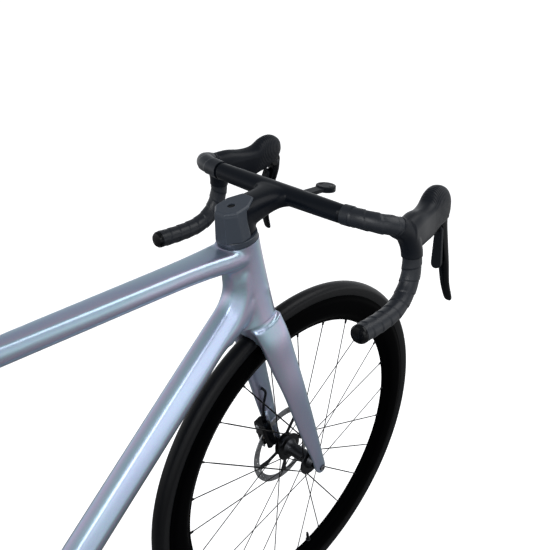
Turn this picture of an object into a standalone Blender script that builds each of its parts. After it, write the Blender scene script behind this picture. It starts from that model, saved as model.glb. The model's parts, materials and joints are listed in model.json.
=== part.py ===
"""A road racing bike with disc brakes, electric shifting and a one-piece bar and stem.

Metres, +X forwards, +Y to the rider's left, +Z up. The origin is on the ground, midway
between the two wheel axles. Every piece is its own closed solid.
"""
import math

import bmesh
import bpy
from mathutils import Matrix, Vector

# Clearances
GAP = 0.0003
TYRE_CLEARANCE = 0.0055

# Wheels and tyres
WHEELBASE = 0.990
BEAD_RADIUS = 0.311
TYRE_WIDTH = 0.028
TREAD_THICKNESS = 0.001
TREAD_FLAT = 0.006
RIM_DEPTH = 0.050
RIM_WIDTH = 0.0288
RIM_EDGE_WIDTH = 0.0256
RIM_SPINE_WIDTH = 0.011
WHEEL_STEPS = 36
SPOKE_PAIRS = 12
SPOKE_BLADE = 0.0022
SPOKE_THICKNESS = 0.0011
SPOKE_FIRST_ANGLE = 6.6
SPOKE_CROSS_ANGLE = 66.0
FLANGE_THICKNESS = 0.003
AXLE_RADIUS = 0.006
HUB_BORE = 0.0064
HUB_BARREL_RADIUS = 0.0125

# Front wheel and fork
HEAD_ANGLE = 73.5
FORK_RAKE = 0.044
FRONT_HUB_WIDTH = 0.100
FRONT_FLANGE_RADIUS = 0.024
FRONT_FLANGE_LEFT = 0.021
FRONT_FLANGE_RIGHT = -0.034
ROTOR_RADIUS = 0.080
ROTOR_BAND = 0.014
ROTOR_THICKNESS = 0.0018
ROTOR_FROM_DROPOUT = 0.0153
ROTOR_MOUNT_RADIUS = 0.0165
FORK_END_THICKNESS = 0.012
CROWN_RACE_ALONG = 0.367
CROWN_HALF_WIDTH = 0.0345
STEERER_RADIUS = 0.0143
STEERER_LOWER_RADIUS = 0.0190

# Head tube and headset
HEAD_TUBE_LENGTH = 0.144
HEAD_TOP_RADIUS = 0.0312
HEAD_BOTTOM_HALF_WIDTH = 0.0305
HEAD_BOTTOM_FRONT = 0.039
HEAD_BOTTOM_REAR = 0.041
HEAD_WAIST_HALF_WIDTH = 0.0262
BEARING_RADIUS = 0.0255
BEARING_HEIGHT = 0.007
CROWN_ROOM_RADIUS = 0.060
HEADSET_COVER_HEIGHT = 0.010
COVER_HEIGHT = 0.046
COVER_PLATE = 0.0045

# Frame
CHAINSTAY_LENGTH = 0.410
BB_DROP = 0.072
SEAT_ANGLE = 73.5
SEAT_TUBE_LENGTH = 0.530
TOP_TUBE_HALF_WIDTH = 0.0205
TOP_TUBE_DEPTH = 0.031
DOWN_TUBE_HALF_WIDTH = 0.028
DOWN_TUBE_DEPTH = 0.049
DOWN_TUBE_TAPER = 0.74
DOWN_TUBE_AT_HEAD = 0.072
DOWN_TUBE_AT_BB = 0.0356
SEAT_TUBE_HALF_WIDTH = 0.0165
SEAT_TUBE_FRONT = 0.021
SEAT_TUBE_REAR = 0.0205
BB_SHELL_RADIUS = 0.0262
BB_SHELL_WIDTH = 0.0865
BB_BORE_RADIUS = 0.0205
REAR_HUB_WIDTH = 0.142
REAR_FLANGE_RADIUS = 0.026
REAR_FLANGE_LEFT = 0.034
REAR_FLANGE_RIGHT = -0.0185
DROPOUT_THICKNESS = 0.010
DROPOUT_RADIUS = 0.017
SEATSTAY_JOIN = 0.405
WEDGE_RADIUS = 0.0062
WEDGE_LENGTH = 0.020

# Brakes
CALIPER_LENGTH = 0.066
CALIPER_INNER = 0.0118
CALIPER_OUTER = 0.0165
CALIPER_DEPTH = 0.022
CALIPER_FROM_AXLE = 0.066
BOSS_THICKNESS = 0.010
PAD_THICKNESS = 0.0035
PAD_TRAVEL_GAP = 0.0005
PAD_RADIUS_PLACE = 0.0665
HOSE_RADIUS = 0.0024
HOSE_HOLE_RADIUS = 0.0032

# Drivetrain
CHAIN_PITCH = 0.0127
CHAIN_LINE = -0.047
CHAINRING_SPACING = 0.007
RING_TEETH = 52
SMALL_RING_TEETH = 36
RING_THICKNESS = 0.0018
TOOTH_HEIGHT = 0.0028
SPROCKET_TEETH = (11, 12, 13, 14, 15, 17, 19, 21, 23, 25, 28)
CHAIN_SPROCKET = 5
SPROCKET_SPACING = 0.00374
SPROCKET_THICKNESS = 0.0016
CRANK_LENGTH = 0.1725
CRANK_OUTER = 0.073
SPINDLE_RADIUS = 0.012
PEDAL_THREAD_RADIUS = 0.0068
PULLEY_TEETH = 12
PULLEY_PIN_RADIUS = 0.0025
LINK_LENGTH = 0.045
CAGE_PLATE = 0.0014
CAGE_HALF_WIDTH = 0.0048
FD_CAGE_THICKNESS = 0.0012
FD_CAGE_REACH = 0.017
FD_TOOTH_ROOM = 0.0065
FD_PIN_RADIUS = 0.002
SPIDER_OUTER = 0.0505
SPIDER_RING_RADIUS = 0.062
RING_BORE = 0.0495

# Cockpit
BAR_WIDTH = 0.426
BAR_TUBE_RADIUS = 0.0118
TAPE_RADIUS = 0.0158
WING_HALF_SPAN = 0.123
WING_ALONG = 0.5417
WING_AHEAD = 0.0918
WING_CHORD = 0.018
WING_THICKNESS = 0.0145
STEM_HALF_WIDTH = 0.0215
STEM_HALF_HEIGHT = 0.0185
GRIP_PIECES = 2
BOLT_RADIUS = 0.0055
MOUNT_RADIUS = 0.0165
MOUNT_AHEAD = 0.1155

# Hoods, brake levers and shift paddles, from the wing's middle and the bar's outer width
HOOD_STATIONS = (
    (0.0610, -0.0180, -0.0110, 0.0172, 0.0205, 0.0215),
    (0.0850, -0.0245, -0.0080, 0.0165, 0.0170, 0.0200),
    (0.1150, -0.0310, -0.0055, 0.0155, 0.0160, 0.0190),
    (0.1420, -0.0355, 0.0010, 0.0158, 0.0180, 0.0210),
    (0.1620, -0.0380, 0.0065, 0.0150, 0.0170, 0.0220),
    (0.1770, -0.0395, 0.0080, 0.0125, 0.0135, 0.0200),
    (0.1830, -0.0400, 0.0080, 0.0085, 0.0085, 0.0140),
)
LEVER_PIVOT = (0.1750, -0.0360, -0.0190)
LEVER_STATIONS = (
    (0.1830, -0.0355, -0.0200, 0.0105, 0.0060),
    (0.1835, -0.0330, -0.0380, 0.0100, 0.0058),
    (0.1830, -0.0275, -0.0640, 0.0080, 0.0050),
    (0.1855, -0.0205, -0.0980, 0.0068, 0.0042),
    (0.1915, -0.0160, -0.1330, 0.0066, 0.0040),
    (0.2030, -0.0130, -0.1600, 0.0060, 0.0036),
    (0.2060, -0.0130, -0.1640, 0.0035, 0.0024),
)
PADDLE_PLACE = (0.1625, -0.0265, -0.0750)
PADDLE_RISE = (0.009, -0.004, 0.030)
PADDLE_DROP = (0.003, 0.004, -0.020)
PADDLE_PIN_RADIUS = 0.0018

# Saddle and seatpost
SADDLE_LENGTH = 0.250
SADDLE_WIDTH = 0.146
SADDLE_HEIGHT = 0.728
POST_HALF_WIDTH = 0.0125
POST_HALF_DEPTH = 0.0165
POST_INSERTION = 0.120
RAIL_RADIUS = 0.0035
RAIL_SPACING = 0.044
POST_HEAD_RADIUS = 0.0125

# Places worked out from the driving sizes
X = Vector((1, 0, 0))
Y = Vector((0, 1, 0))
Z = Vector((0, 0, 1))
WHEEL_RADIUS = BEAD_RADIUS + TYRE_WIDTH + TREAD_THICKNESS
FRONT_AXLE = Vector((WHEELBASE / 2, 0, WHEEL_RADIUS))
REAR_AXLE = Vector((-WHEELBASE / 2, 0, WHEEL_RADIUS))
STEER_UP = Vector((-math.cos(math.radians(HEAD_ANGLE)), 0, math.sin(math.radians(HEAD_ANGLE))))
STEER_FORWARD = Vector((STEER_UP.z, 0, -STEER_UP.x))
STEER_FOOT = FRONT_AXLE - STEER_FORWARD * FORK_RAKE
BB_BACK = math.sqrt(CHAINSTAY_LENGTH ** 2 - BB_DROP ** 2)
BOTTOM_BRACKET = REAR_AXLE + Vector((BB_BACK, 0, -BB_DROP))
SEAT_UP = Vector((-math.cos(math.radians(SEAT_ANGLE)), 0, math.sin(math.radians(SEAT_ANGLE))))
SEAT_FORWARD = Vector((SEAT_UP.z, 0, -SEAT_UP.x))
HEAD_TOP = CROWN_RACE_ALONG + HEAD_TUBE_LENGTH
COVER_BOTTOM = HEAD_TOP + HEADSET_COVER_HEIGHT
COVER_TOP = COVER_BOTTOM + COVER_HEIGHT
FRONT_ROTOR_Y = FRONT_HUB_WIDTH / 2 - ROTOR_FROM_DROPOUT
REAR_ROTOR_Y = REAR_HUB_WIDTH / 2 - ROTOR_FROM_DROPOUT
RIM_OUTER = BEAD_RADIUS + 0.0055
RIM_INNER = RIM_OUTER - RIM_DEPTH
GUIDE_PULLEY = REAR_AXLE + Vector((0.017, CHAIN_LINE, -0.070))
TENSION_PULLEY = REAR_AXLE + Vector((0.033, CHAIN_LINE, -0.135))
RING_CENTRE = BOTTOM_BRACKET + Y * CHAIN_LINE
SPROCKET_CENTRE = REAR_AXLE + Y * CHAIN_LINE
SHIFT_WAY = Vector((0.2, 0.68, -0.705)).normalized()
LINK_WAY = Vector((SHIFT_WAY.z, 0, -SHIFT_WAY.x)).normalized() * -1
LINK_AXIS = LINK_WAY.cross(SHIFT_WAY)
KNUCKLE_PIVOT = GUIDE_PULLEY + Vector((0.0085, -0.0235, 0.0085))
LINK_PIVOT = KNUCKLE_PIVOT - LINK_WAY * LINK_LENGTH
CAGE_PIVOT = GUIDE_PULLEY + Vector((0.004, 0, 0.002))
HANGER_BOLT = REAR_AXLE + Vector((-0.009, 0, -0.029))
FD_PIVOT = BOTTOM_BRACKET + Vector((-0.0325, -0.0265, 0.138))
WING_CENTRE = STEER_FOOT + STEER_UP * WING_ALONG + STEER_FORWARD * WING_AHEAD
HOSE_EXIT = FRONT_AXLE + Vector((-0.0685, 0.0385, 0.150))
SADDLE_TOP = BOTTOM_BRACKET.z + SEAT_UP.z * SADDLE_HEIGHT
SADDLE_MIDDLE = BOTTOM_BRACKET.x + SEAT_UP.x * SADDLE_HEIGHT - 0.010
SADDLE_REAR = SADDLE_MIDDLE - SADDLE_LENGTH / 2
SADDLE_FRONT = SADDLE_MIDDLE + SADDLE_LENGTH / 2


def steer(along, forward=0.0, side=0.0):
    """A point by its distance up the steering axis, ahead of it and to the left."""
    return STEER_FOOT + STEER_UP * along + STEER_FORWARD * forward + Y * side


def seat(along, forward=0.0, side=0.0):
    """A point by its distance up the seat tube's axis, ahead of it and to the left."""
    return BOTTOM_BRACKET + SEAT_UP * along + SEAT_FORWARD * forward + Y * side


def pitch_radius(teeth):
    """The radius on which a chain's pins lie round a sprocket."""
    return CHAIN_PITCH / (2 * math.sin(math.pi / teeth))


def lerp(a, b, share):
    return a + (b - a) * share


# Scene and materials

def clear_scene():
    for item in list(bpy.data.objects):
        bpy.data.objects.remove(item)


def collection(name):
    made = bpy.data.collections.new(name)
    bpy.context.scene.collection.children.link(made)
    return made


def material(name, colour, roughness, metallic=0.0):
    made = bpy.data.materials.new(name)
    made.use_nodes = True
    shader = made.node_tree.nodes["Principled BSDF"]
    shader.inputs["Base Color"].default_value = (*colour, 1.0)
    shader.inputs["Roughness"].default_value = roughness
    shader.inputs["Metallic"].default_value = metallic
    made.diffuse_color = (*colour, 1.0)
    return made


clear_scene()
BIKE = collection("road_bike")
CUTTERS = collection("cutters")
PAINT = material("silver_blue_paint", (0.42, 0.47, 0.56), 0.32, 0.7)
CARBON = material("satin_black_carbon", (0.02, 0.02, 0.022), 0.45)
COVER = material("dark_grey_cover", (0.05, 0.052, 0.057), 0.5)
TAPE = material("bar_tape", (0.03, 0.031, 0.035), 0.75)
HOOD_RUBBER = material("hood_rubber", (0.022, 0.022, 0.024), 0.65)
GLOSS_BLACK = material("gloss_black", (0.012, 0.012, 0.013), 0.18)
RIM_BLACK = material("rim_black", (0.012, 0.012, 0.014), 0.15)
RUBBER = material("tyre_rubber", (0.018, 0.018, 0.019), 0.6)
STEEL = material("steel", (0.55, 0.56, 0.58), 0.28, 1.0)
CHAIN_STEEL = material("chain_steel", (0.42, 0.42, 0.43), 0.3, 1.0)
ALLOY = material("dark_alloy", (0.06, 0.06, 0.065), 0.35, 0.8)
SADDLE_SKIN = material("saddle_skin", (0.02, 0.02, 0.021), 0.55)
PAD_STUFF = material("brake_pad", (0.12, 0.10, 0.08), 0.8)


# Building blocks

def adopt(item, finish):
    """Puts a new piece in the bike's collection with its finish, smooth where it is round."""
    item.data.materials.clear()
    item.data.materials.append(finish)
    BIKE.objects.link(item)
    if item.type == "MESH":
        item.data.shade_smooth()
        item.data.set_sharp_from_angle(angle=math.radians(35))
    return item


def guide(item):
    """Puts a shape that only cuts or joins another one among the cutters."""
    CUTTERS.objects.link(item)
    item.hide_render = True
    item.display_type = "WIRE"
    return item


def solid(name, bm):
    """A closed mesh object from a bmesh, with its faces turned outwards."""
    bmesh.ops.recalc_face_normals(bm, faces=bm.faces)
    if bm.calc_volume(signed=True) < 0:
        bmesh.ops.reverse_faces(bm, faces=bm.faces)
    mesh = bpy.data.meshes.new(name)
    bm.to_mesh(mesh)
    bm.free()
    return bpy.data.objects.new(name, mesh)


def loft(name, rings):
    """A closed body through rings of as many points each, flat at both ends."""
    bm = bmesh.new()
    loops = [[bm.verts.new(point) for point in ring] for ring in rings]
    for low, high in zip(loops, loops[1:]):
        for i in range(len(low)):
            j = (i + 1) % len(low)
            bm.faces.new((low[i], low[j], high[j], high[i]))
    bm.faces.new(loops[0])
    bm.faces.new(loops[-1])
    return solid(name, bm)


def ring(centre, across, up, outline):
    """Places a flat outline of (across, up) pairs at a centre."""
    return [centre + across * a + up * b for a, b in outline]


def mirrored(half):
    """A whole outline from its half, which runs from top middle to bottom middle."""
    return half + [(-a, b) for a, b in reversed(half[1:-1])]


def egg(half_width, front, rear, count, power=2.0):
    """A rounded outline whose front and rear reach differ; power 2 is an ellipse."""
    points = []
    for i in range(count):
        angle = 2 * math.pi * i / count
        c, s = math.cos(angle), math.sin(angle)
        reach = front if s > 0 else rear
        a = half_width * math.copysign(abs(c) ** (2 / power), c)
        b = reach * math.copysign(abs(s) ** (2 / power), s)
        points.append((a, b))
    return points


def tube_outline(half_width, depth, flat, belly, edge=0.0045, taper=0.94):
    """A flat-topped tube's outline, with its top face at height 0 and a rounded underside."""
    half = [(0, 0), (flat, 0), (lerp(flat, half_width, 0.6), -edge)]
    half += [(half_width, -0.36 * depth), (taper * half_width, -0.66 * depth)]
    half += [(belly, -0.91 * depth), (0.5 * belly, -depth), (0, -depth)]
    return mirrored(half)


def turned(name, profile, centre, axis, steps, turn=0.0):
    """Turns (radius, height) pairs about an axis; they run down the outer side."""
    closed = profile[0][0] > 0
    mesh = bpy.data.meshes.new(name)
    edges = [(i, i + 1) for i in range(len(profile) - 1)]
    if closed:
        edges.append((len(profile) - 1, 0))
    mesh.from_pydata([(r, 0, h) for r, h in profile], edges, [])
    item = bpy.data.objects.new(name, mesh)
    screw = item.modifiers.new("turn", "SCREW")
    screw.steps = steps
    screw.render_steps = steps
    screw.use_merge_vertices = True
    screw.merge_threshold = 0.00001
    screw.use_smooth_shade = True
    facing = Z.rotation_difference(axis.normalized()).to_matrix().to_4x4()
    item.matrix_world = Matrix.Translation(centre) @ facing @ Matrix.Rotation(turn, 4, "Z")
    return item


def rod(name, start, end, radius, sides=12, end_radius=None):
    """A straight round bar between two points."""
    bm = bmesh.new()
    axis = end - start
    tip = radius if end_radius is None else end_radius
    bmesh.ops.create_cone(
        bm, cap_ends=True, segments=sides, radius1=radius, radius2=tip, depth=axis.length
    )
    facing = Z.rotation_difference(axis.normalized()).to_matrix().to_4x4()
    bm.transform(Matrix.Translation((start + end) / 2) @ facing)
    return solid(name, bm)


def block(name, centre, size, turn=0.0, bevel=0.0):
    """A box that is turned about Y, with its edges bevelled."""
    bm = bmesh.new()
    bmesh.ops.create_cube(bm, size=1.0)
    bm.transform(Matrix.Diagonal((*size, 1.0)))
    if bevel:
        bmesh.ops.bevel(bm, geom=bm.edges[:], offset=bevel, segments=1, affect="EDGES")
    bm.transform(Matrix.Translation(centre) @ Matrix.Rotation(turn, 4, "Y"))
    return solid(name, bm)


def strap(name, start, end, axis, start_radius, end_radius, low, high, corners=6):
    """A plate with two round ends, between two heights along an axis."""
    axis = axis.normalized()
    along = end - start
    along = (along - axis * along.dot(axis)).normalized()
    side = axis.cross(along)
    outline = []
    for centre, radius, way in ((start, start_radius, -1), (end, end_radius, 1)):
        for i in range(corners):
            angle = math.pi * (i / (corners - 1) - 0.5)
            outline.append(centre + way * (along * math.cos(angle) + side * math.sin(angle)) * radius)
    return loft(name, [[p + axis * low for p in outline], [p + axis * high for p in outline]])


def smooth_path(points, pieces):
    """Points along a smooth curve through the route's own points."""
    route = [points[0] * 2 - points[1], *points, points[-1] * 2 - points[-2]]
    found = []
    for a, b, c, d in zip(route, route[1:], route[2:], route[3:]):
        for i in range(pieces):
            t = i / pieces
            found.append(
                0.5 * (2 * b + (c - a) * t + (2 * a - 5 * b + 4 * c - d) * t ** 2
                       + (3 * b - a - 3 * c + d) * t ** 3)
            )
    found.append(points[-1].copy())
    return found


def wire(name, points, radius, resolution=2, radii=None):
    """A round tube along a path, as a mesh with its ends closed."""
    curve = bpy.data.curves.new(name, "CURVE")
    curve.dimensions = "3D"
    curve.bevel_depth = radius
    curve.bevel_resolution = resolution
    curve.use_fill_caps = True
    spline = curve.splines.new("POLY")
    spline.points.add(len(points) - 1)
    for i, (place, point) in enumerate(zip(spline.points, points)):
        place.co = (*point, 1)
        place.radius = radii[i] / radius if radii else 1.0
    return as_mesh(name, curve)


def plate(name, outline, holes, centre, across, up, thickness):
    """A flat sheet with holes, midway on its centre, from (across, up) pairs."""
    curve = bpy.data.curves.new(name, "CURVE")
    curve.dimensions = "2D"
    curve.fill_mode = "BOTH"
    curve.extrude = thickness / 2
    for loop in (outline, *holes):
        spline = curve.splines.new("POLY")
        spline.points.add(len(loop) - 1)
        for place, (a, b) in zip(spline.points, loop):
            place.co = (a, b, 0, 1)
        spline.use_cyclic_u = True
    item = as_mesh(name, curve)
    facing = Matrix((across, up, across.cross(up))).transposed().to_4x4()
    item.data.transform(Matrix.Translation(centre) @ facing)
    return item


def as_mesh(name, curve):
    """Turns a curve into a mesh object with its caps welded on."""
    made = bpy.data.objects.new(name, curve)
    bpy.context.scene.collection.objects.link(made)
    graph = bpy.context.evaluated_depsgraph_get()
    mesh = bpy.data.meshes.new_from_object(made.evaluated_get(graph))
    bpy.data.objects.remove(made)
    bm = bmesh.new()
    bm.from_mesh(mesh)
    bmesh.ops.remove_doubles(bm, verts=bm.verts, dist=0.000002)
    bpy.data.meshes.remove(mesh)
    return solid(name, bm)


def boolean(item, others, operation):
    for other in others:
        guide(other)
        change = item.modifiers.new(operation.lower(), "BOOLEAN")
        change.operation = operation
        change.object = other
    return item


def join(item, *others):
    return boolean(item, others, "UNION")


def cut(item, *others):
    return boolean(item, others, "DIFFERENCE")


def circle(radius, count, turn=0.0):
    return [
        (radius * math.cos(turn + 2 * math.pi * i / count),
         radius * math.sin(turn + 2 * math.pi * i / count))
        for i in range(count)
    ]


# Wheels

def flat_to_flat(radius):
    """The corner radius of a wheel's polygon whose sides lie at a given radius."""
    return radius / math.cos(math.pi / WHEEL_STEPS)


def tyre(name, axle):
    """A tyre with a narrow flat tread, seated on the rim's outer edge."""
    half = TYRE_WIDTH / 2
    middle = RIM_OUTER + GAP + 0.45 * TYRE_WIDTH
    profile = [(WHEEL_RADIUS, TREAD_FLAT / 2), (WHEEL_RADIUS, -TREAD_FLAT / 2)]
    profile += [(lerp(middle, WHEEL_RADIUS, 0.66), -0.8 * half), (middle, -half)]
    profile += [(RIM_OUTER + GAP, -0.82 * half), (RIM_OUTER + GAP, 0.82 * half)]
    profile += [(middle, half), (lerp(middle, WHEEL_RADIUS, 0.66), 0.8 * half)]
    profile = [(flat_to_flat(r), h) for r, h in profile]
    return turned(name, profile, axle, Y, WHEEL_STEPS, math.pi / WHEEL_STEPS)


def rim(name, axle):
    """A deep rim that bulges below its edge and narrows to a rounded spine."""
    half = [(RIM_OUTER, RIM_EDGE_WIDTH / 2)]
    half += [(RIM_OUTER - 0.26 * RIM_DEPTH, RIM_WIDTH / 2)]
    half += [(RIM_OUTER - 0.66 * RIM_DEPTH, 0.41 * RIM_WIDTH)]
    half += [(RIM_INNER, 0.4 * RIM_SPINE_WIDTH)]
    profile = half + [(r, -h) for r, h in reversed(half)]
    profile = [(flat_to_flat(r), h) for r, h in reversed(profile)]
    return turned(name, profile, axle, Y, WHEEL_STEPS, math.pi / WHEEL_STEPS)


def spokes(axle, flange_radius, left, right):
    """Bladed spokes, crossed twice, leading and trailing on each flange in turn."""
    bm = bmesh.new()
    rim_reach = RIM_INNER - GAP
    spread = FLANGE_THICKNESS / 2 - SPOKE_THICKNESS / 2
    for i in range(2 * SPOKE_PAIRS):
        angle = math.radians(SPOKE_FIRST_ANGLE + 360 * i / (2 * SPOKE_PAIRS))
        flange = left if i % 2 else right
        way = 1 if (i // 2) % 2 else -1
        root = angle + way * math.radians(SPOKE_CROSS_ANGLE)
        y = flange + way * spread * math.copysign(1, flange)
        start = Vector((flange_radius * math.cos(root), y, flange_radius * math.sin(root)))
        end = Vector((rim_reach * math.cos(angle), 0, rim_reach * math.sin(angle)))
        line = (end - start).normalized()
        blade = line.cross(Y).normalized() * SPOKE_BLADE / 2
        flat = line.cross(blade).normalized() * SPOKE_THICKNESS / 2
        corners = []
        for point in (start, end):
            for offset in (blade + flat, flat - blade, -blade - flat, blade - flat):
                corners.append(bm.verts.new(axle + point + offset))
        low, high = corners[:4], corners[4:]
        bm.faces.new(low)
        bm.faces.new(high)
        for j in range(4):
            k = (j + 1) % 4
            bm.faces.new((low[j], low[k], high[k], high[j]))
    return solid("spokes", bm)


def hub(name, axle, flange_radius, left, right, left_end, right_end, rotor_y):
    """A hub shell with two flanges and a rotor seat, one body with its spokes."""
    barrel = HUB_BARREL_RADIUS
    rim_of_flange = flange_radius + 0.004
    half = FLANGE_THICKNESS / 2
    profile = [(HUB_BORE, left_end), (0.011, left_end)]
    profile += [(0.011, rotor_y + 0.003), (ROTOR_MOUNT_RADIUS, rotor_y + 0.003)]
    profile += [(ROTOR_MOUNT_RADIUS, rotor_y - 0.003), (0.019, left + half)]
    profile += [(rim_of_flange, left + half), (rim_of_flange, left - half)]
    profile += [(barrel, left - 0.010), (barrel, right + 0.010)]
    profile += [(rim_of_flange, right + half), (rim_of_flange, right - half)]
    profile += [(0.016, right - half), (0.0125, right_end), (HUB_BORE, right_end)]
    shell = turned(name, profile, axle, Y, 12)
    return join(shell, spokes(axle, flange_radius, left, right))


def rotor(name, axle, y):
    """A brake disc with five windows between its braking band and its carrier."""
    windows = []
    band = ROTOR_RADIUS - ROTOR_BAND
    for i in range(5):
        middle = 2 * math.pi * i / 5
        outer = [middle + math.radians(d) for d in (-29, -10, 10, 29)]
        inner = [middle + math.radians(d) for d in (24, -24)]
        lean = math.radians(12)
        window = [(band * math.cos(a), band * math.sin(a)) for a in outer]
        window += [(0.032 * math.cos(a + lean), 0.032 * math.sin(a + lean)) for a in inner]
        windows.append(window)
    bore = circle(ROTOR_MOUNT_RADIUS + GAP, 12)
    outline = circle(ROTOR_RADIUS, 30)
    return plate(name, outline, [*windows, bore], axle + Y * y, X, -Z, ROTOR_THICKNESS)


def through_axle(name, axle, half_width, left_reach, right_reach):
    """A through axle with a thicker sleeve at each side that spaces the hub."""
    sleeve = 0.0095
    profile = [(0, left_reach), (AXLE_RADIUS, left_reach), (AXLE_RADIUS, half_width - GAP)]
    profile += [(sleeve, half_width - GAP), (sleeve, half_width - 0.004)]
    profile += [(AXLE_RADIUS, half_width - 0.004), (AXLE_RADIUS, -half_width + 0.004)]
    profile += [(sleeve, -half_width + 0.004), (sleeve, -half_width + GAP)]
    profile += [(AXLE_RADIUS, -half_width + GAP), (AXLE_RADIUS, right_reach), (0, right_reach)]
    return turned(name, profile, axle, Y, 12)


def make_wheels(pivots):
    half = FRONT_HUB_WIDTH / 2
    ends = (half - 0.0045, -half + 0.0045)
    pieces = [
        adopt(tyre("front_tyre", FRONT_AXLE), RUBBER),
        adopt(rim("front_rim", FRONT_AXLE), RIM_BLACK),
        adopt(hub("front_hub_and_spokes", FRONT_AXLE, FRONT_FLANGE_RADIUS, FRONT_FLANGE_LEFT,
                  FRONT_FLANGE_RIGHT, *ends, FRONT_ROTOR_Y), ALLOY),
        adopt(rotor("front_rotor", FRONT_AXLE, FRONT_ROTOR_Y), STEEL),
    ]
    hang(pieces, pivots["front_wheel"])
    half = REAR_HUB_WIDTH / 2
    ends = (half - 0.0045, REAR_FLANGE_RIGHT - 0.006)
    pieces = [
        adopt(tyre("rear_tyre", REAR_AXLE), RUBBER),
        adopt(rim("rear_rim", REAR_AXLE), RIM_BLACK),
        adopt(hub("rear_hub_and_spokes", REAR_AXLE, REAR_FLANGE_RADIUS, REAR_FLANGE_LEFT,
                  REAR_FLANGE_RIGHT, *ends, REAR_ROTOR_Y), ALLOY),
        adopt(rotor("rear_rotor", REAR_AXLE, REAR_ROTOR_Y), STEEL),
    ]
    hang(pieces, pivots["rear_wheel"])


# Frame

def head_outline(along):
    """The head tube's outline: round at the top ring, waisted, fuller at the crown."""
    share = (along - CROWN_RACE_ALONG) / HEAD_TUBE_LENGTH
    waist = math.sin(math.pi * min(max(share, 0), 1))
    width = lerp(HEAD_BOTTOM_HALF_WIDTH, HEAD_TOP_RADIUS, share)
    width = lerp(width, HEAD_WAIST_HALF_WIDTH, waist ** 0.8)
    front = lerp(HEAD_BOTTOM_FRONT, HEAD_TOP_RADIUS, share) + 0.0015 * waist
    rear = lerp(HEAD_BOTTOM_REAR, HEAD_TOP_RADIUS, share ** 2)
    return egg(width, front, rear, 20, 2.15)


def head_tube():
    rings = []
    for share in (0, 0.12, 0.3, 0.5, 0.7, 0.87, 1):
        along = CROWN_RACE_ALONG + share * HEAD_TUBE_LENGTH
        rings.append(ring(steer(along), Y, STEER_FORWARD, head_outline(along)))
    return loft("frame", rings)


def top_tube():
    """A flat-topped tube that widens into the head tube's top ring."""
    rear = seat(SEAT_TUBE_LENGTH - 0.006, 0.004)
    front = steer(HEAD_TOP - 0.0012, -HEAD_TOP_RADIUS)
    line = (front - rear).normalized()
    up = line.cross(Y)
    stations = ((0, 0.70, 1), (0.12, 0.74, 1), (0.5, 0.92, 1), (0.80, 1.05, 1),
                (0.90, 1.15, 1.03), (0.97, 1.30, 1.10), (1.05, 1.38, 1.15))
    rings = []
    for share, wide, deep in stations:
        width = TOP_TUBE_HALF_WIDTH * wide
        outline = tube_outline(width, TOP_TUBE_DEPTH * deep, width - 0.0045, 0.6 * width)
        rings.append(ring(lerp(rear, front, share), Y, up, outline))
    return loft("top_tube", rings)


def down_tube_line():
    """The middle line of the down tube's top face, from bottom bracket to head tube."""
    head_end = steer(CROWN_RACE_ALONG + DOWN_TUBE_AT_HEAD, -0.0075)
    toward = head_end - BOTTOM_BRACKET
    tilt = math.atan2(toward.z, toward.x) - math.asin(DOWN_TUBE_AT_BB / toward.length)
    line = Vector((math.cos(tilt), 0, math.sin(tilt)))
    up = line.cross(Y)
    return BOTTOM_BRACKET + up * DOWN_TUBE_AT_BB, head_end, up


def down_tube():
    rear, front, up = down_tube_line()
    slim, full = (DOWN_TUBE_TAPER, 0.42), (0.96, 0.84)
    stations = ((0, 1, 1.12, 0, slim), (0.10, 1, 1.08, 0, slim), (0.35, 1, 1.02, 0, slim),
                (0.68, 1, 1, 0, slim), (0.82, 1, 0.94, 0, slim), (0.885, 1.02, 0.90, 0, full),
                (0.93, 1.04, 1.0, 0.002, full), (1.02, 1.04, 1.05, 0.010, full))
    rings = []
    for share, wide, deep, lift, (taper, belly) in stations:
        width = DOWN_TUBE_HALF_WIDTH * wide
        outline = tube_outline(width, DOWN_TUBE_DEPTH * deep, 0.62 * width, belly * width, 0.005,
                               taper)
        rings.append(ring(lerp(rear, front, share) + up * lift, Y, up, outline))
    return loft("down_tube", rings)


def seat_tube():
    stations = ((-0.004, 1.5, 1), (0.05, 1.25, 1), (0.11, 1, 1), (SEAT_TUBE_LENGTH, 1, 1))
    rings = []
    for along, wide, deep in stations:
        outline = egg(SEAT_TUBE_HALF_WIDTH * wide, SEAT_TUBE_FRONT * deep, SEAT_TUBE_REAR * deep,
                      16, 2.4)
        rings.append(ring(seat(along), Y, SEAT_FORWARD, outline))
    return loft("seat_tube", rings)


def stay(name, side, stations):
    """A tapering stay through stations of (place, half width, half height)."""
    rings = []
    for i, (place, width, height) in enumerate(stations):
        before = stations[max(i - 1, 0)][0]
        after = stations[min(i + 1, len(stations) - 1)][0]
        line = (after - before).normalized()
        across = line.cross(Z).normalized() * -1
        up = across.cross(line)
        centre = Vector((place.x, place.y * side, place.z))
        rings.append(ring(centre, Vector((across.x, across.y * side, across.z)), up,
                          egg(width, height, height, 8, 2.3)))
    return loft(name, rings)


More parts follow.
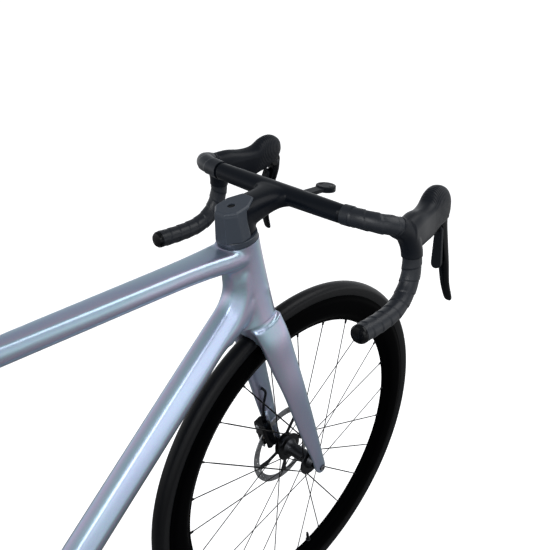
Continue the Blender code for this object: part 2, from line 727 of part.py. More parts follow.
def stay_stations():
    """Chainstay and seatstay routes on the left side, clear of the tyre and the rotor."""
    out = REAR_HUB_WIDTH / 2 + DROPOUT_THICKNESS / 2
    tyre_side = TYRE_WIDTH / 2 + TYRE_CLEARANCE
    bb, axle = BOTTOM_BRACKET, REAR_AXLE
    chainstay = [
        (lerp(bb, axle, 0.02) + Y * 0.020, 0.013, 0.020),
        (lerp(bb, axle, 0.20) + Y * (tyre_side + 0.0085) - Z * 0.004, 0.0088, 0.017),
        (lerp(bb, axle, 0.42) + Y * (tyre_side + 0.020) - Z * 0.004, 0.0088, 0.0135),
        (lerp(bb, axle, 0.72) + Y * (out - 0.0135), 0.0085, 0.0115),
        (lerp(bb, axle, 0.93) + Y * (out - 0.0004), 0.0050, 0.0115),
        (axle + Y * out, 0.0045, 0.012),
    ]
    join_at = seat(SEATSTAY_JOIN)
    drop = axle - join_at
    seatstay = [
        (join_at + X * 0.004 + Y * 0.007 + Z * 0.006, 0.0085, 0.013),
        (join_at + drop * 0.12 + Y * (tyre_side - 0.001) + X * 0.002, 0.0075, 0.011),
        (join_at + drop * 0.28 + Y * (tyre_side + 0.0095), 0.0065, 0.0095),
        (join_at + drop * 0.66 + Y * (out - 0.019), 0.006, 0.0085),
        (join_at + drop * 0.93 + Y * (out - 0.0002), 0.0047, 0.009),
        (axle + Y * out, 0.0045, 0.009),
    ]
    return chainstay, seatstay


def dropout(side):
    inner = side * REAR_HUB_WIDTH / 2
    outer = inner + side * DROPOUT_THICKNESS
    return rod("dropout", REAR_AXLE + Y * inner, REAR_AXLE + Y * outer, DROPOUT_RADIUS, 16)


def post_outline(spare=0.0):
    return egg(POST_HALF_WIDTH + spare, POST_HALF_DEPTH + spare, POST_HALF_DEPTH + spare, 14, 2.3)


def make_frame():
    body = head_tube()
    chainstay, seatstay = stay_stations()
    shell = rod("bb_shell", BOTTOM_BRACKET - Y * BB_SHELL_WIDTH / 2,
                BOTTOM_BRACKET + Y * BB_SHELL_WIDTH / 2, BB_SHELL_RADIUS, 18)
    parts = [top_tube(), down_tube(), seat_tube(), shell]
    for side in (1, -1):
        parts += [stay("chainstay", side, chainstay), stay("seatstay", side, seatstay)]
        parts.append(dropout(side))
    caliper_at, turn = rear_caliper_place()
    stay_y = chainstay[-3][0].y
    parts.append(brake_boss(caliper_at, turn, stay_y))
    join(body, *parts)
    low, high = CROWN_RACE_ALONG, HEAD_TOP
    pocket = BEARING_HEIGHT + 2 * GAP
    profile = [(0, high + 0.004), (BEARING_RADIUS + GAP, high + 0.004)]
    profile += [(BEARING_RADIUS + GAP, high - pocket), (STEERER_RADIUS + 0.003, high - pocket)]
    profile += [(STEERER_LOWER_RADIUS + 0.002, low + pocket)]
    profile += [(BEARING_RADIUS + GAP, low + pocket), (BEARING_RADIUS + GAP, low - 0.004)]
    profile += [(0, low - 0.004)]
    bore = turned("head_bore", profile, STEER_FOOT, STEER_UP, 16)
    post_hole = loft("post_hole", [
        ring(seat(along), Y, SEAT_FORWARD, post_outline(GAP))
        for along in (SEAT_TUBE_LENGTH - POST_INSERTION - 0.040, SEAT_TUBE_LENGTH + 0.01)
    ])
    wedge_hole = rod("wedge_hole", *wedge_line(0.010, -0.001), WEDGE_RADIUS + GAP, 12)
    bb_hole = rod("bb_hole", BOTTOM_BRACKET - Y * BB_SHELL_WIDTH,
                  BOTTOM_BRACKET + Y * BB_SHELL_WIDTH, BB_BORE_RADIUS, 16)
    axle_hole = rod("axle_hole", REAR_AXLE - Y * 0.1, REAR_AXLE + Y * 0.1, AXLE_RADIUS + GAP, 16)
    crown_room = rod("crown_room", steer(CROWN_RACE_ALONG - 0.06), steer(CROWN_RACE_ALONG),
                     CROWN_ROOM_RADIUS, 32)
    cut(body, bore, post_hole, wedge_hole, bb_hole, axle_hole, crown_room)
    adopt(body, PAINT)


def wedge_line(over=0.0, under=0.0):
    """The seatpost wedge's middle line, just ahead of the post."""
    forward = POST_HALF_DEPTH + WEDGE_RADIUS + 2 * GAP + 0.0004
    top = SEAT_TUBE_LENGTH - 0.003
    return seat(top - WEDGE_LENGTH + under, forward), seat(top + over, forward)


def bearing(name, bottom):
    """A headset bearing that sits in a pocket of the head tube."""
    inner = STEERER_LOWER_RADIUS + 0.0006 if bottom < HEAD_TOP - 0.02 else STEERER_RADIUS + 0.0006
    profile = [(BEARING_RADIUS, bottom + BEARING_HEIGHT), (BEARING_RADIUS, bottom)]
    profile += [(inner, bottom), (inner, bottom + BEARING_HEIGHT)]
    return adopt(turned(name, profile, STEER_FOOT, STEER_UP, 16), STEEL)


def bb_cup(name, side):
    """A press-in cup with a thin lip outside the bottom bracket shell."""
    face = BB_SHELL_WIDTH / 2
    lip, bore = BB_SHELL_RADIUS - 0.003, SPINDLE_RADIUS + GAP
    body = BB_BORE_RADIUS - GAP
    profile = [(lip, face + 0.0016), (lip, face + GAP), (body, face + GAP)]
    profile += [(body, face - 0.010), (bore, face - 0.010), (bore, face + 0.0016)]
    return adopt(turned(name, profile, BOTTOM_BRACKET, Y * side, 16), ALLOY)


# Fork

def leg_line(side):
    """A fork leg's middle line: straight from the crown to the axle, seen from the side."""
    crown = steer(CROWN_RACE_ALONG - 0.009, 0.006)
    end_y = FRONT_HUB_WIDTH / 2 + FORK_END_THICKNESS / 2
    tyre_side = TYRE_WIDTH / 2 + TYRE_CLEARANCE
    stations = (
        (0.0, tyre_side + 0.003, 0.030, 0.013),
        (0.10, tyre_side + 0.0128, 0.0285, 0.0125),
        (0.24, tyre_side + 0.018, 0.0262, 0.0112),
        (0.42, tyre_side + 0.0255, 0.0225, 0.0096),
        (0.70, end_y - 0.0055, 0.0185, 0.0074),
        (0.90, end_y - 0.0005, 0.0135, FORK_END_THICKNESS / 2),
        (1.0, end_y, 0.0125, FORK_END_THICKNESS / 2),
        (1.035, end_y, 0.008, FORK_END_THICKNESS / 2),
    )
    line = FRONT_AXLE - crown
    ahead = Y.cross(line).normalized() * -1
    return [(crown + line * share + Y * side * out, ahead, chord, thick)
            for share, out, chord, thick in stations]


def fork_leg(side):
    rings = []
    for centre, ahead, chord, thick in leg_line(side):
        rings.append(ring(centre, Y, ahead, egg(thick, chord, chord, 14, 2.3)))
    return loft("fork_leg", rings)


def fork_crown():
    """The crown takes up the head tube's outline and spreads into the legs."""
    top = CROWN_RACE_ALONG - GAP
    stations = ((top, 1, 1, 1), (top - 0.010, 1.06, 1.0, 1.0), (top - 0.024, 1.14, 0.98, 0.92),
                (top - 0.040, 1.14, 0.88, 0.80))
    rings = []
    for along, wide, front, rear in stations:
        outline = egg(HEAD_BOTTOM_HALF_WIDTH * wide, HEAD_BOTTOM_FRONT * front,
                      HEAD_BOTTOM_REAR * rear, 20, 2.15)
        rings.append(ring(steer(along), Y, STEER_FORWARD, outline))
    return loft("fork", rings)


def wheel_clearance():
    """The space the front tyre turns in, under the crown and between the legs."""
    reach = WHEEL_RADIUS + TYRE_CLEARANCE + 0.001
    half = TYRE_WIDTH / 2 + TYRE_CLEARANCE
    profile = [(0, half), (reach - 0.008, half), (reach, half - 0.008), (reach, 0.008 - half)]
    profile += [(reach - 0.008, -half), (0, -half)]
    return turned("wheel_clearance", profile, FRONT_AXLE, Y, 48)


def make_fork(pivots):
    body = fork_crown()
    steerer_top = COVER_TOP - 0.016
    low = CROWN_RACE_ALONG - 0.006
    profile = [(0, steerer_top), (STEERER_RADIUS, steerer_top)]
    profile += [(STEERER_RADIUS, HEAD_TOP - 0.03), (STEERER_LOWER_RADIUS, low + 0.03)]
    profile += [(STEERER_LOWER_RADIUS, low), (0, low)]
    steerer = turned("steerer", profile, STEER_FOOT, STEER_UP, 20)
    caliper_at, turn = front_caliper_place()
    boss = brake_boss(caliper_at, turn, FRONT_HUB_WIDTH / 2)
    hose_hole = rod("hose_hole", HOSE_EXIT - Y * 0.014, HOSE_EXIT + Y * 0.006,
                    HOSE_HOLE_RADIUS, 8)
    join(body, fork_leg(1), fork_leg(-1), steerer, boss)
    axle_hole = rod("fork_axle_hole", FRONT_AXLE - Y * 0.1, FRONT_AXLE + Y * 0.1,
                    AXLE_RADIUS + GAP, 16)
    cut(body, wheel_clearance(), axle_hole, hose_hole)
    hang([adopt(body, PAINT)], pivots["steering"])
    half = FRONT_HUB_WIDTH / 2
    reach = half + FORK_END_THICKNESS + 0.002
    axle = adopt(through_axle("front_axle", FRONT_AXLE, half, reach, -reach), ALLOY)
    hang([axle], pivots["steering"])


# Brakes

def brake_boss(place, turn, carrier_y):
    """The flat pad under a caliper, on the stay or leg that carries it."""
    away = Vector((math.sin(turn), 0, math.cos(turn)))
    centre = place - away * (CALIPER_DEPTH / 2 + BOSS_THICKNESS / 2 + GAP)
    inner = place.y + ROTOR_THICKNESS / 2 + PAD_TRAVEL_GAP + PAD_THICKNESS + 2 * GAP
    centre.y = (inner + carrier_y) / 2
    size = (CALIPER_LENGTH, carrier_y - inner, BOSS_THICKNESS)
    return block("brake_boss", centre, size, turn)


def front_caliper_place():
    """The front caliper lies behind the left leg, along it, over the rotor's edge."""
    crown, ahead, _, _ = leg_line(1)[0]
    line = (FRONT_AXLE - Vector((crown.x, 0, crown.z))).normalized()
    place = FRONT_AXLE - line * CALIPER_FROM_AXLE - ahead * (0.0185 + CALIPER_DEPTH / 2)
    turn = math.atan2(-ahead.x, -ahead.z)
    return Vector((place.x, FRONT_ROTOR_Y, place.z)), turn


def rear_caliper_place():
    """The rear caliper lies on the left chainstay, inside the rear triangle."""
    line = (BOTTOM_BRACKET - REAR_AXLE).normalized()
    up = line.cross(Y)
    place = REAR_AXLE + line * CALIPER_FROM_AXLE + up * (0.017 + CALIPER_DEPTH / 2)
    turn = math.atan2(up.x, up.z)
    return Vector((place.x, REAR_ROTOR_Y, place.z)), turn


def caliper(name, place, turn, axle):
    """A two-piston caliper, open over the rotor, with a rounded outside."""
    width = CALIPER_INNER + CALIPER_OUTER
    centre = place + Y * (CALIPER_OUTER - CALIPER_INNER) / 2
    body = block(name, centre, (CALIPER_LENGTH, width, CALIPER_DEPTH), turn, 0.004)
    slot = ROTOR_THICKNESS / 2 + PAD_TRAVEL_GAP + PAD_THICKNESS + GAP
    disc = rod("rotor_slot", Vector((axle.x, place.y - slot, axle.z)),
               Vector((axle.x, place.y + slot, axle.z)), ROTOR_RADIUS + 0.0025, 36)
    return cut(body, disc)


def pad(name, place, axle, side):
    """A brake pad beside the rotor, inside the caliper's slot."""
    toward = Vector((place.x - axle.x, 0, place.z - axle.z)).normalized()
    centre = Vector((axle.x, 0, axle.z)) + toward * PAD_RADIUS_PLACE
    offset = ROTOR_THICKNESS / 2 + PAD_TRAVEL_GAP + PAD_THICKNESS / 2
    centre.y = place.y + side * offset
    turn = math.atan2(toward.x, toward.z)
    return block(name, centre, (0.022, PAD_THICKNESS, 0.018), turn)


def make_brakes(pivots):
    for end, axle, (place, turn) in (
        ("front", FRONT_AXLE, front_caliper_place()),
        ("rear", REAR_AXLE, rear_caliper_place()),
    ):
        body = adopt(caliper(f"{end}_caliper", place, turn, axle), GLOSS_BLACK)
        if end == "front":
            hang([body], pivots["steering"])
        for word, side in (("left", 1), ("right", -1)):
            piece = adopt(pad(f"{end}_pad_{word}", place, axle, side), PAD_STUFF)
            hang([piece], pivots[f"{end}_pad_{word}"])


def make_hose(pivots):
    """The front brake hose, from the left leg's inner side down to the caliper."""
    place, _ = front_caliper_place()
    end = place + Vector((-0.010, 0, 0.0385))
    route = [HOSE_EXIT + Y * 0.003, HOSE_EXIT - Y * 0.004]
    route += [HOSE_EXIT + Vector((0.001, -0.0085, -0.006)), lerp(HOSE_EXIT, end, 0.55), end]
    route[-2].y = end.y
    hose = adopt(wire("front_brake_hose", smooth_path(route, 4), HOSE_RADIUS), CARBON)
    hang([hose], pivots["steering"])


# Cockpit

def bar_route(side):
    """The middle line of one side of the bar, from the wing's end round to the plug."""
    half = BAR_WIDTH / 2
    start = WING_CENTRE
    offsets = (
        (0.002, WING_HALF_SPAN - half, 0.0005), (0.006, -0.058, 0.0010),
        (0.017, -0.034, -0.0005), (0.037, -0.022, -0.0055), (0.057, -0.017, -0.0190),
        (0.0695, -0.013, -0.0430), (0.0725, -0.010, -0.0700), (0.0665, -0.0075, -0.0950),
        (0.0500, -0.005, -0.1150), (0.0260, -0.0025, -0.1265), (-0.010, -0.001, -0.1315),
        (-0.051, 0.0, -0.1330),
    )
    return [start + Vector((dx, side * (half + dy), dz)) for dx, dy, dz in offsets]


def wing():
    """The bar's top: flattened in the middle and round where the tape starts."""
    start = WING_CENTRE
    rings = []
    for share in (-1.0, -0.9, -0.65, -0.4, -0.2, 0, 0.2, 0.4, 0.65, 0.9, 1.0):
        size = abs(share) ** 1.5
        chord = lerp(WING_CHORD, BAR_TUBE_RADIUS, size)
        thick = lerp(WING_THICKNESS, BAR_TUBE_RADIUS, size)
        if abs(share) > 0.97:
            chord = thick = BAR_TUBE_RADIUS
        elif abs(share) > 0.8:
            chord = thick = TAPE_RADIUS - 0.002
        centre = start + Vector((0.002 * abs(share), share * WING_HALF_SPAN, 0))
        rings.append(ring(centre, X, Z, egg(chord, thick, thick, 12)))
    return loft("wing", rings)


def stem():
    """The stem's body, from its clamp round the steerer forwards into the wing."""
    clamp = steer((COVER_BOTTOM + COVER_TOP) / 2 + 0.002, 0)
    low = clamp + STEER_FORWARD * 0.006
    stations = ((0.0, 1.15, 1.2), (0.25, 1.12, 1.12), (0.55, 1.12, 0.97), (0.78, 1.35, 0.87),
                (0.95, 2.1, 0.77), (1.08, 1.9, 0.5))
    line = WING_CENTRE - low
    ahead = line.normalized()
    up = ahead.cross(Y)
    rings = []
    for share, wide, high in stations:
        outline = egg(STEM_HALF_WIDTH * wide, STEM_HALF_HEIGHT * high, STEM_HALF_HEIGHT * high,
                      16, 2.6)
        rings.append(ring(low + line * share, Y, up, outline))
    return loft("cockpit", rings)


def make_cockpit(pivots):
    body = stem()
    grips = []
    for side in (1, -1):
        path = smooth_path(bar_route(side), GRIP_PIECES)
        grips.append(wire("grip", path, BAR_TUBE_RADIUS, 1))
    join(body, wing(), *grips)
    low, high = COVER_BOTTOM - 0.01, COVER_TOP + 0.01
    steerer_hole = rod("steerer_hole", steer(low), steer(high), STEERER_RADIUS + GAP, 20)
    cover_hole = cover_shape("cover_hole", GAP, COVER_BOTTOM - 0.004, COVER_TOP + 0.004)
    cut(body, steerer_hole, cover_hole)
    pieces = [adopt(body, CARBON)]
    profile = [(HEAD_TOP_RADIUS - 0.0004, COVER_BOTTOM - GAP)]
    profile += [(HEAD_TOP_RADIUS - 0.0004, HEAD_TOP + GAP)]
    profile += [(STEERER_RADIUS + GAP, HEAD_TOP + GAP), (STEERER_RADIUS + GAP, COVER_BOTTOM - GAP)]
    pieces.append(adopt(turned("headset_cover", profile, STEER_FOOT, STEER_UP, 24), CARBON))
    cover = cover_shape("stem_cover", 0.0, COVER_BOTTOM, COVER_TOP)
    well = rod("cover_well", steer(low), steer(COVER_TOP - 0.0045), STEERER_RADIUS + 2 * GAP, 20)
    bolt_hole = rod("bolt_hole", steer(COVER_TOP - 0.010), steer(high), BOLT_RADIUS + GAP, 12)
    cut(cover, well, bolt_hole)
    pieces.append(adopt(cover, COVER))
    top = COVER_TOP - 0.002
    profile = [(0, top), (BOLT_RADIUS, top), (BOLT_RADIUS, COVER_TOP - 0.0048)]
    profile += [(0.012, COVER_TOP - 0.0048), (0.012, COVER_TOP - 0.0155)]
    profile += [(0.0, COVER_TOP - 0.0155)]
    pieces.append(adopt(turned("steerer_bolt", profile, STEER_FOOT, STEER_UP, 16), STEEL))
    hang(pieces, pivots["steering"])


def cover_outline(spare, front, nose, shoulder, rear, half_width, chamfer):
    """An eight-sided outline with a narrower nose that runs on over the stem."""
    half = [(0, front), (nose, front), (half_width, shoulder)]
    half += [(half_width, -rear + chamfer), (half_width - chamfer, -rear), (0, -rear)]
    return mirrored([(a + spare if a else 0, b + math.copysign(spare, b)) for a, b in half])


def cover_shape(name, spare, bottom, top):
    """The stem cover: it tapers upwards from the spacer and has a bevelled top edge."""
    plate = COVER_TOP - COVER_PLATE
    stations = ((COVER_BOTTOM + GAP, 0.0120, 0.0200, 0.0010, 0.0310, 0.0285, 0.017),
                (lerp(COVER_BOTTOM, COVER_TOP, 0.5), 0.0135, 0.0180, 0.0030, 0.0275, 0.0255, 0.015),
                (plate - 0.0015 - spare, 0.0150, 0.0165, 0.0060, 0.0245, 0.0232, 0.013),
                (plate - spare, 0.0340, 0.0110, 0.0130, 0.0240, 0.0228, 0.013),
                (COVER_TOP - 0.0025, 0.0345, 0.0105, 0.0130, 0.0235, 0.0222, 0.012),
                (COVER_TOP, 0.0325, 0.0095, 0.0120, 0.0210, 0.0197, 0.011))
    if spare:
        stations = ((bottom, *stations[0][1:]), *stations[:5], (top, *stations[4][1:]))
    return loft(name, [ring(steer(along), Y, STEER_FORWARD, cover_outline(spare, *sizes))
                       for along, *sizes in stations])


def make_grips(pivots):
    """Tape with its bore round the bar, and a plug in each end."""
    for word, side in (("left", 1), ("right", -1)):
        route = bar_route(side)
        route[0] = lerp(route[0], route[1], 0.06)
        path = smooth_path(route, GRIP_PIECES)
        tape = wire(f"bar_tape_{word}", path, TAPE_RADIUS, 2)
        first, last = path[0] * 2 - path[1], path[-1] * 2 - path[-2]
        bore = wire("bar_bore", [first, *path, last], BAR_TUBE_RADIUS + 2 * GAP, 1)
        cut(tape, bore)
        end = bar_route(side)[-1]
        back = (end - path[-2]).normalized()
        profile = [(0, 0.0075), (0.0085, 0.0075), (TAPE_RADIUS - 0.001, 0.004)]
        profile += [(TAPE_RADIUS - 0.001, GAP), (0, GAP)]
        plug = turned(f"bar_plug_{word}", profile, end, back, 16)
        hang([adopt(tape, TAPE), adopt(plug, GLOSS_BLACK)], pivots["steering"])


# Brake and shift levers

def cockpit_point(offset, side):
    """A point by its place from the wing's middle and from the bar's outer width."""
    dx, dy, dz = offset
    return WING_CENTRE + Vector((dx, side * (BAR_WIDTH / 2 + dy), dz))


def hood(name, side):
    """The lever body in its rubber cover, from the bar forward to the raised horn."""
    rings = []
    places = [cockpit_point(row[:3], side) for row in HOOD_STATIONS]
    for i, (*_, width, up_reach, down_reach) in enumerate(HOOD_STATIONS):
        before, after = places[max(i - 1, 0)], places[min(i + 1, len(places) - 1)]
        line = after - before
        line.z *= 0.4
        line.normalize()
        across = Z.cross(line).normalized()
        up = line.cross(across)
        rings.append(ring(places[i], across, up, egg(width, up_reach, down_reach, 14, 2.4)))
    body = loft(name, rings)
    path = smooth_path(bar_route(side), GRIP_PIECES)
    clear = wire("bar_clearance", path, TAPE_RADIUS + GAP, 2)
    pivot = cockpit_point(LEVER_PIVOT, side)
    swing = rod("lever_clearance", pivot - Y * 0.030, pivot + Y * 0.030, 0.0125, 20)
    front = block("lever_room", pivot + Vector((0.014, 0, -0.014)), (0.034, 0.06, 0.040))
    return cut(body, clear, swing, front)


def lever(name, side):
    """A brake lever blade that hangs from its pivot and curves out to its tip."""
    rings = []
    places = [cockpit_point(row[:3], side) for row in LEVER_STATIONS]
    for i, (*_, width, thick) in enumerate(LEVER_STATIONS):
        before, after = places[max(i - 1, 0)], places[min(i + 1, len(places) - 1)]
        line = (after - before).normalized()
        ahead = Y.cross(line).normalized()
        across = line.cross(ahead)
        rings.append(ring(places[i], across, ahead, egg(width, thick, thick, 10, 2.4)))
    body = loft(name, rings)
    pivot = cockpit_point(LEVER_PIVOT, side)
    knuckle = rod("lever_knuckle", pivot - Y * 0.0125, pivot + Y * 0.0125, 0.0118, 16)
    hinge = paddle_pivot(side)
    pin = rod("paddle_pin", hinge - X * 0.0052, hinge + X * 0.010, PADDLE_PIN_RADIUS, 8)
    return join(body, knuckle, pin)


def shifted(offset, side):
    """A point by its offset from the shift paddle's middle, mirrored to its side."""
    dx, dy, dz = offset
    return cockpit_point(PADDLE_PLACE, side) + Vector((dx, side * dy, dz))


def paddle_pivot(side):
    return shifted(PADDLE_RISE, side)


def paddle(name, side):
    """A shift button with a round pad, behind the brake lever's blade."""
    top = paddle_pivot(side)
    low = shifted(PADDLE_DROP, side)
    lean = (top - low).normalized()
    facing = X - lean * X.dot(lean)
    body = strap(name, top, low, facing, 0.0065, 0.0085, -0.0035, 0.0025, 7)
    return cut(body, rod("paddle_bore", top - X * 0.01, top + X * 0.01, PADDLE_PIN_RADIUS + GAP, 8))


def make_levers(pivots):
    for word, side in (("left", 1), ("right", -1)):
        body = adopt(hood(f"hood_{word}", side), HOOD_RUBBER)
        blade = adopt(lever(f"brake_lever_{word}", side), GLOSS_BLACK)
        button = adopt(paddle(f"shift_paddle_{word}", side), CARBON)
        hang([body], pivots["steering"])
        hang([blade], pivots[f"brake_lever_{word}"])
        hang([button], pivots[f"shift_paddle_{word}"])


def make_computer_mount(pivots):
    """An arm from under the stem's front to a round seat for a computer."""
    puck = WING_CENTRE + Vector((MOUNT_AHEAD, 0, -0.0155))
    profile = [(0, 0.0045), (MOUNT_RADIUS - 0.001, 0.0045), (MOUNT_RADIUS, 0.0035)]
    profile += [(MOUNT_RADIUS, -0.0045), (0, -0.0045)]
    body = turned("computer_mount", profile, puck, Z, 24)
    root = WING_CENTRE + Vector((0.0215, 0, -0.0165))
    arm = strap("mount_arm", root, puck, Z, 0.009, 0.0085, -0.003, 0.003)
    foot = block("mount_foot", root + Vector((-0.006, 0, 0.0005)), (0.020, 0.026, 0.006))
    join(body, arm, foot)
    room = wing()
    room.name = "wing_room"
    for corner in room.data.vertices:
        corner.co.z -= GAP + 0.0001
    cut(body, room)
    hang([adopt(body, CARBON)], pivots["steering"])


# Drivetrain

def tangent(a, b):
    """Where a belt leaves one (centre, radius, way) wheel and meets the next."""
    (pa, ra, wa), (pb, rb, wb) = a, b
    gap = pb - pa
    base = math.atan2(gap.z, gap.x)
    swing = math.acos((wa * ra - wb * rb) / math.hypot(gap.x, gap.z))
    return base - swing


def chain_path(step=math.radians(28)):
    """Points and outward directions round the ring, the pulleys and the sprocket."""
    wheels = [
        (RING_CENTRE, pitch_radius(RING_TEETH), 1),
        (SPROCKET_CENTRE, pitch_radius(SPROCKET_TEETH[CHAIN_SPROCKET]), 1),
        (GUIDE_PULLEY, pitch_radius(PULLEY_TEETH), -1),
        (TENSION_PULLEY, pitch_radius(PULLEY_TEETH), 1),
    ]
    count = len(wheels)
    leaves, meets = [], []
    for i in range(count):
        normal = tangent(wheels[i], wheels[(i + 1) % count])
        leaves.append(normal)
        meets.append(normal)
    path = []
    for i, (centre, radius, way) in enumerate(wheels):
        start, end = meets[i - 1], leaves[i]
        turn = (end - start) % (2 * math.pi)
        if way < 0:
            turn -= 2 * math.pi
        pieces = max(2, round(abs(turn) / step))
        for j in range(pieces + 1):
            angle = start + turn * j / pieces
            out = Vector((math.cos(angle), 0, math.sin(angle)))
            path.append((centre + out * radius * way, out))
    return path


def make_chain():
    """A chain as two bands of link plates, tied by pins along its two straight runs."""
    path = chain_path()
    half = 0.0040
    inner, outer = 0.0012, 0.0025
    bands = []
    for side in (1, -1):
        loops = [[(p.x + out.x * reach, p.z + out.z * reach) for p, out in path]
                 for reach in (half, -half)]
        middle = CHAIN_LINE + side * (inner + outer) / 2
        bands.append(plate("chain", loops[0], [loops[1]], Y * middle, X, Z, outer - inner))
    chain = bands[0]
    pins = []
    for i in range(len(path)):
        start, end = path[i][0], path[(i + 1) % len(path)][0]
        run = end - start
        if run.length < 6 * CHAIN_PITCH:
            continue
        count = int(run.length / (4 * CHAIN_PITCH))
        for j in range(1, count + 1):
            place = start + run * j / (count + 1)
            pins.append(rod("chain_pin", place - Y * 0.002, place + Y * 0.002, 0.0028, 6))
    join(chain, bands[1], *pins)
    adopt(chain, CHAIN_STEEL)


def make_cassette(pivots):
    """A stack of sprockets on one core, largest towards the spokes."""
    profile = []
    first = CHAIN_LINE - CHAIN_SPROCKET * SPROCKET_SPACING
    half = SPROCKET_THICKNESS / 2
    for i in range(len(SPROCKET_TEETH) - 1, -1, -1):
        y = first + i * SPROCKET_SPACING
        tip = pitch_radius(SPROCKET_TEETH[i]) + TOOTH_HEIGHT
        profile += [(tip, y + half), (tip, y - half)]
        if i in (CHAIN_SPROCKET, CHAIN_SPROCKET + 1):
            root = pitch_radius(SPROCKET_TEETH[i - 1]) - 0.0052
            profile += [(root, y - half - 0.0001), (root, y - SPROCKET_SPACING + half + 0.0001)]
    inner, lock_face = 0.0138, first - half - 0.0015
    profile += [(0.015, first - half - 0.0001), (0.015, lock_face), (inner, lock_face)]
    profile += [(inner, REAR_FLANGE_RIGHT - 0.0075), (0.022, REAR_FLANGE_RIGHT - 0.0075)]
    body = turned("cassette", profile, REAR_AXLE, Y, 14)
    hang([adopt(body, STEEL)], pivots["cassette"])


def chainring(name, teeth, y, inner):
    outer = pitch_radius(teeth) + TOOTH_HEIGHT
    half = RING_THICKNESS / 2
    profile = [(outer, half), (outer, -half), (inner, -half), (inner, half)]
    return turned(name, profile, BOTTOM_BRACKET + Y * y, Y, 32)


def crank_arm(name, side, spider):
    """A tapering arm with a clamp eye, a pedal axle and, on the right, the ring spider."""
    tip = BOTTOM_BRACKET + X * (-side) * CRANK_LENGTH
    way = X * (-side)
    outer, inner = CRANK_OUTER, SPIDER_OUTER
    stations = ((0.0, inner, outer - 0.003, 0.019), (0.12, inner, outer - 0.003, 0.0185),
                (0.35, inner + 0.0020, outer - 0.001, 0.0145), (0.8, outer - 0.012, outer, 0.0125),
                (1.0, outer - 0.012, outer, 0.0125), (1.055, outer - 0.011, outer - 0.001, 0.008))
    rings = []
    for share, low, high, height in stations:
        centre = BOTTOM_BRACKET + way * CRANK_LENGTH * share + Y * side * (low + high) / 2
        rings.append(ring(centre, Y, Z, egg((high - low) / 2, height, height, 12, 3)))
    arm = loft(name, rings)
    eye = turned("crank_eye", [(0.0205, outer - 0.0025), (0.0205, spider),
                               (0.010, spider), (0.010, outer - 0.0025)],
                 BOTTOM_BRACKET, Y * side, 16)
    axle = rod("pedal_axle", tip + Y * side * (outer - 0.006), tip + Y * side * (outer + 0.062),
               PEDAL_THREAD_RADIUS, 12, PEDAL_THREAD_RADIUS - 0.0024)
    join(arm, eye, axle)
    return arm


def make_cranks(pivots):
    ring_y = -CHAIN_LINE
    small_y = ring_y - CHAINRING_SPACING
    big_inner = ring_y - RING_THICKNESS / 2 - GAP
    small_outer = small_y + RING_THICKNESS / 2 + GAP
    right = crank_arm("crank_arm_right", -1, BB_SHELL_WIDTH / 2 + 0.0022)
    spider = turned("spider", [
        (RING_BORE - GAP, SPIDER_OUTER + 0.001), (RING_BORE - GAP, big_inner),
        (SPIDER_RING_RADIUS, big_inner), (SPIDER_RING_RADIUS, small_outer),
        (BB_SHELL_RADIUS + 0.004, small_outer), (BB_SHELL_RADIUS + 0.004, big_inner - 0.0008),
        (0.015, big_inner - 0.0008), (0.015, SPIDER_OUTER + 0.001),
    ], BOTTOM_BRACKET, -Y, 18)
    join(right, spider)
    left = crank_arm("crank_arm_left", 1, BB_SHELL_WIDTH / 2 + 0.0022)
    for arm in (left, right):
        hole = rod("spindle_hole", BOTTOM_BRACKET - Y * 0.1, BOTTOM_BRACKET + Y * 0.1,
                   SPINDLE_RADIUS + GAP, 16)
        cut(arm, hole)
        adopt(arm, GLOSS_BLACK)
    reach = CRANK_OUTER - 0.003
    spindle = adopt(rod("crank_spindle", BOTTOM_BRACKET - Y * reach, BOTTOM_BRACKET + Y * reach,
                        SPINDLE_RADIUS, 16), ALLOY)
    big = adopt(chainring("chainring_large", RING_TEETH, CHAIN_LINE, RING_BORE), ALLOY)
    small = adopt(chainring("chainring_small", SMALL_RING_TEETH, -small_y, RING_BORE), ALLOY)
    hang([left, right, spindle, big, small], pivots["crank"])
    for word, side in (("left", 1), ("right", -1)):
        hang([adopt(pedal(f"pedal_{word}", side), GLOSS_BLACK)], pivots[f"pedal_{word}"])


def pedal(name, side):
    """A clip-in pedal body round its axle, wide at the back and pointed at the front."""
    centre = BOTTOM_BRACKET + X * (-side) * CRANK_LENGTH
    near, far = CRANK_OUTER + 0.006, CRANK_OUTER + 0.064
    stations = ((near, 0.012, 0.010, 0.009), (near + 0.012, 0.020, 0.030, 0.0095),
                (near + 0.035, 0.046, 0.034, 0.0095), (far - 0.006, 0.022, 0.032, 0.009),
                (far, 0.014, 0.020, 0.008))
    rings = []
    for out, front, rear, height in stations:
        outline = [(front, 0.3 * height), (front, -0.3 * height), (0.4 * front, -height),
                   (-0.6 * rear, -height), (-rear, -0.4 * height), (-rear, 0.6 * height),
                   (-0.5 * rear, height), (0.4 * front, 0.9 * height)]
        rings.append(ring(centre + Y * side * out, X, Z, outline))
    body = loft(name, rings)
    bore = rod("pedal_bore", centre + Y * side * (near - 0.01), centre + Y * side * (far - 0.0015),
               PEDAL_THREAD_RADIUS + 0.0004, 12)
    return cut(body, bore)


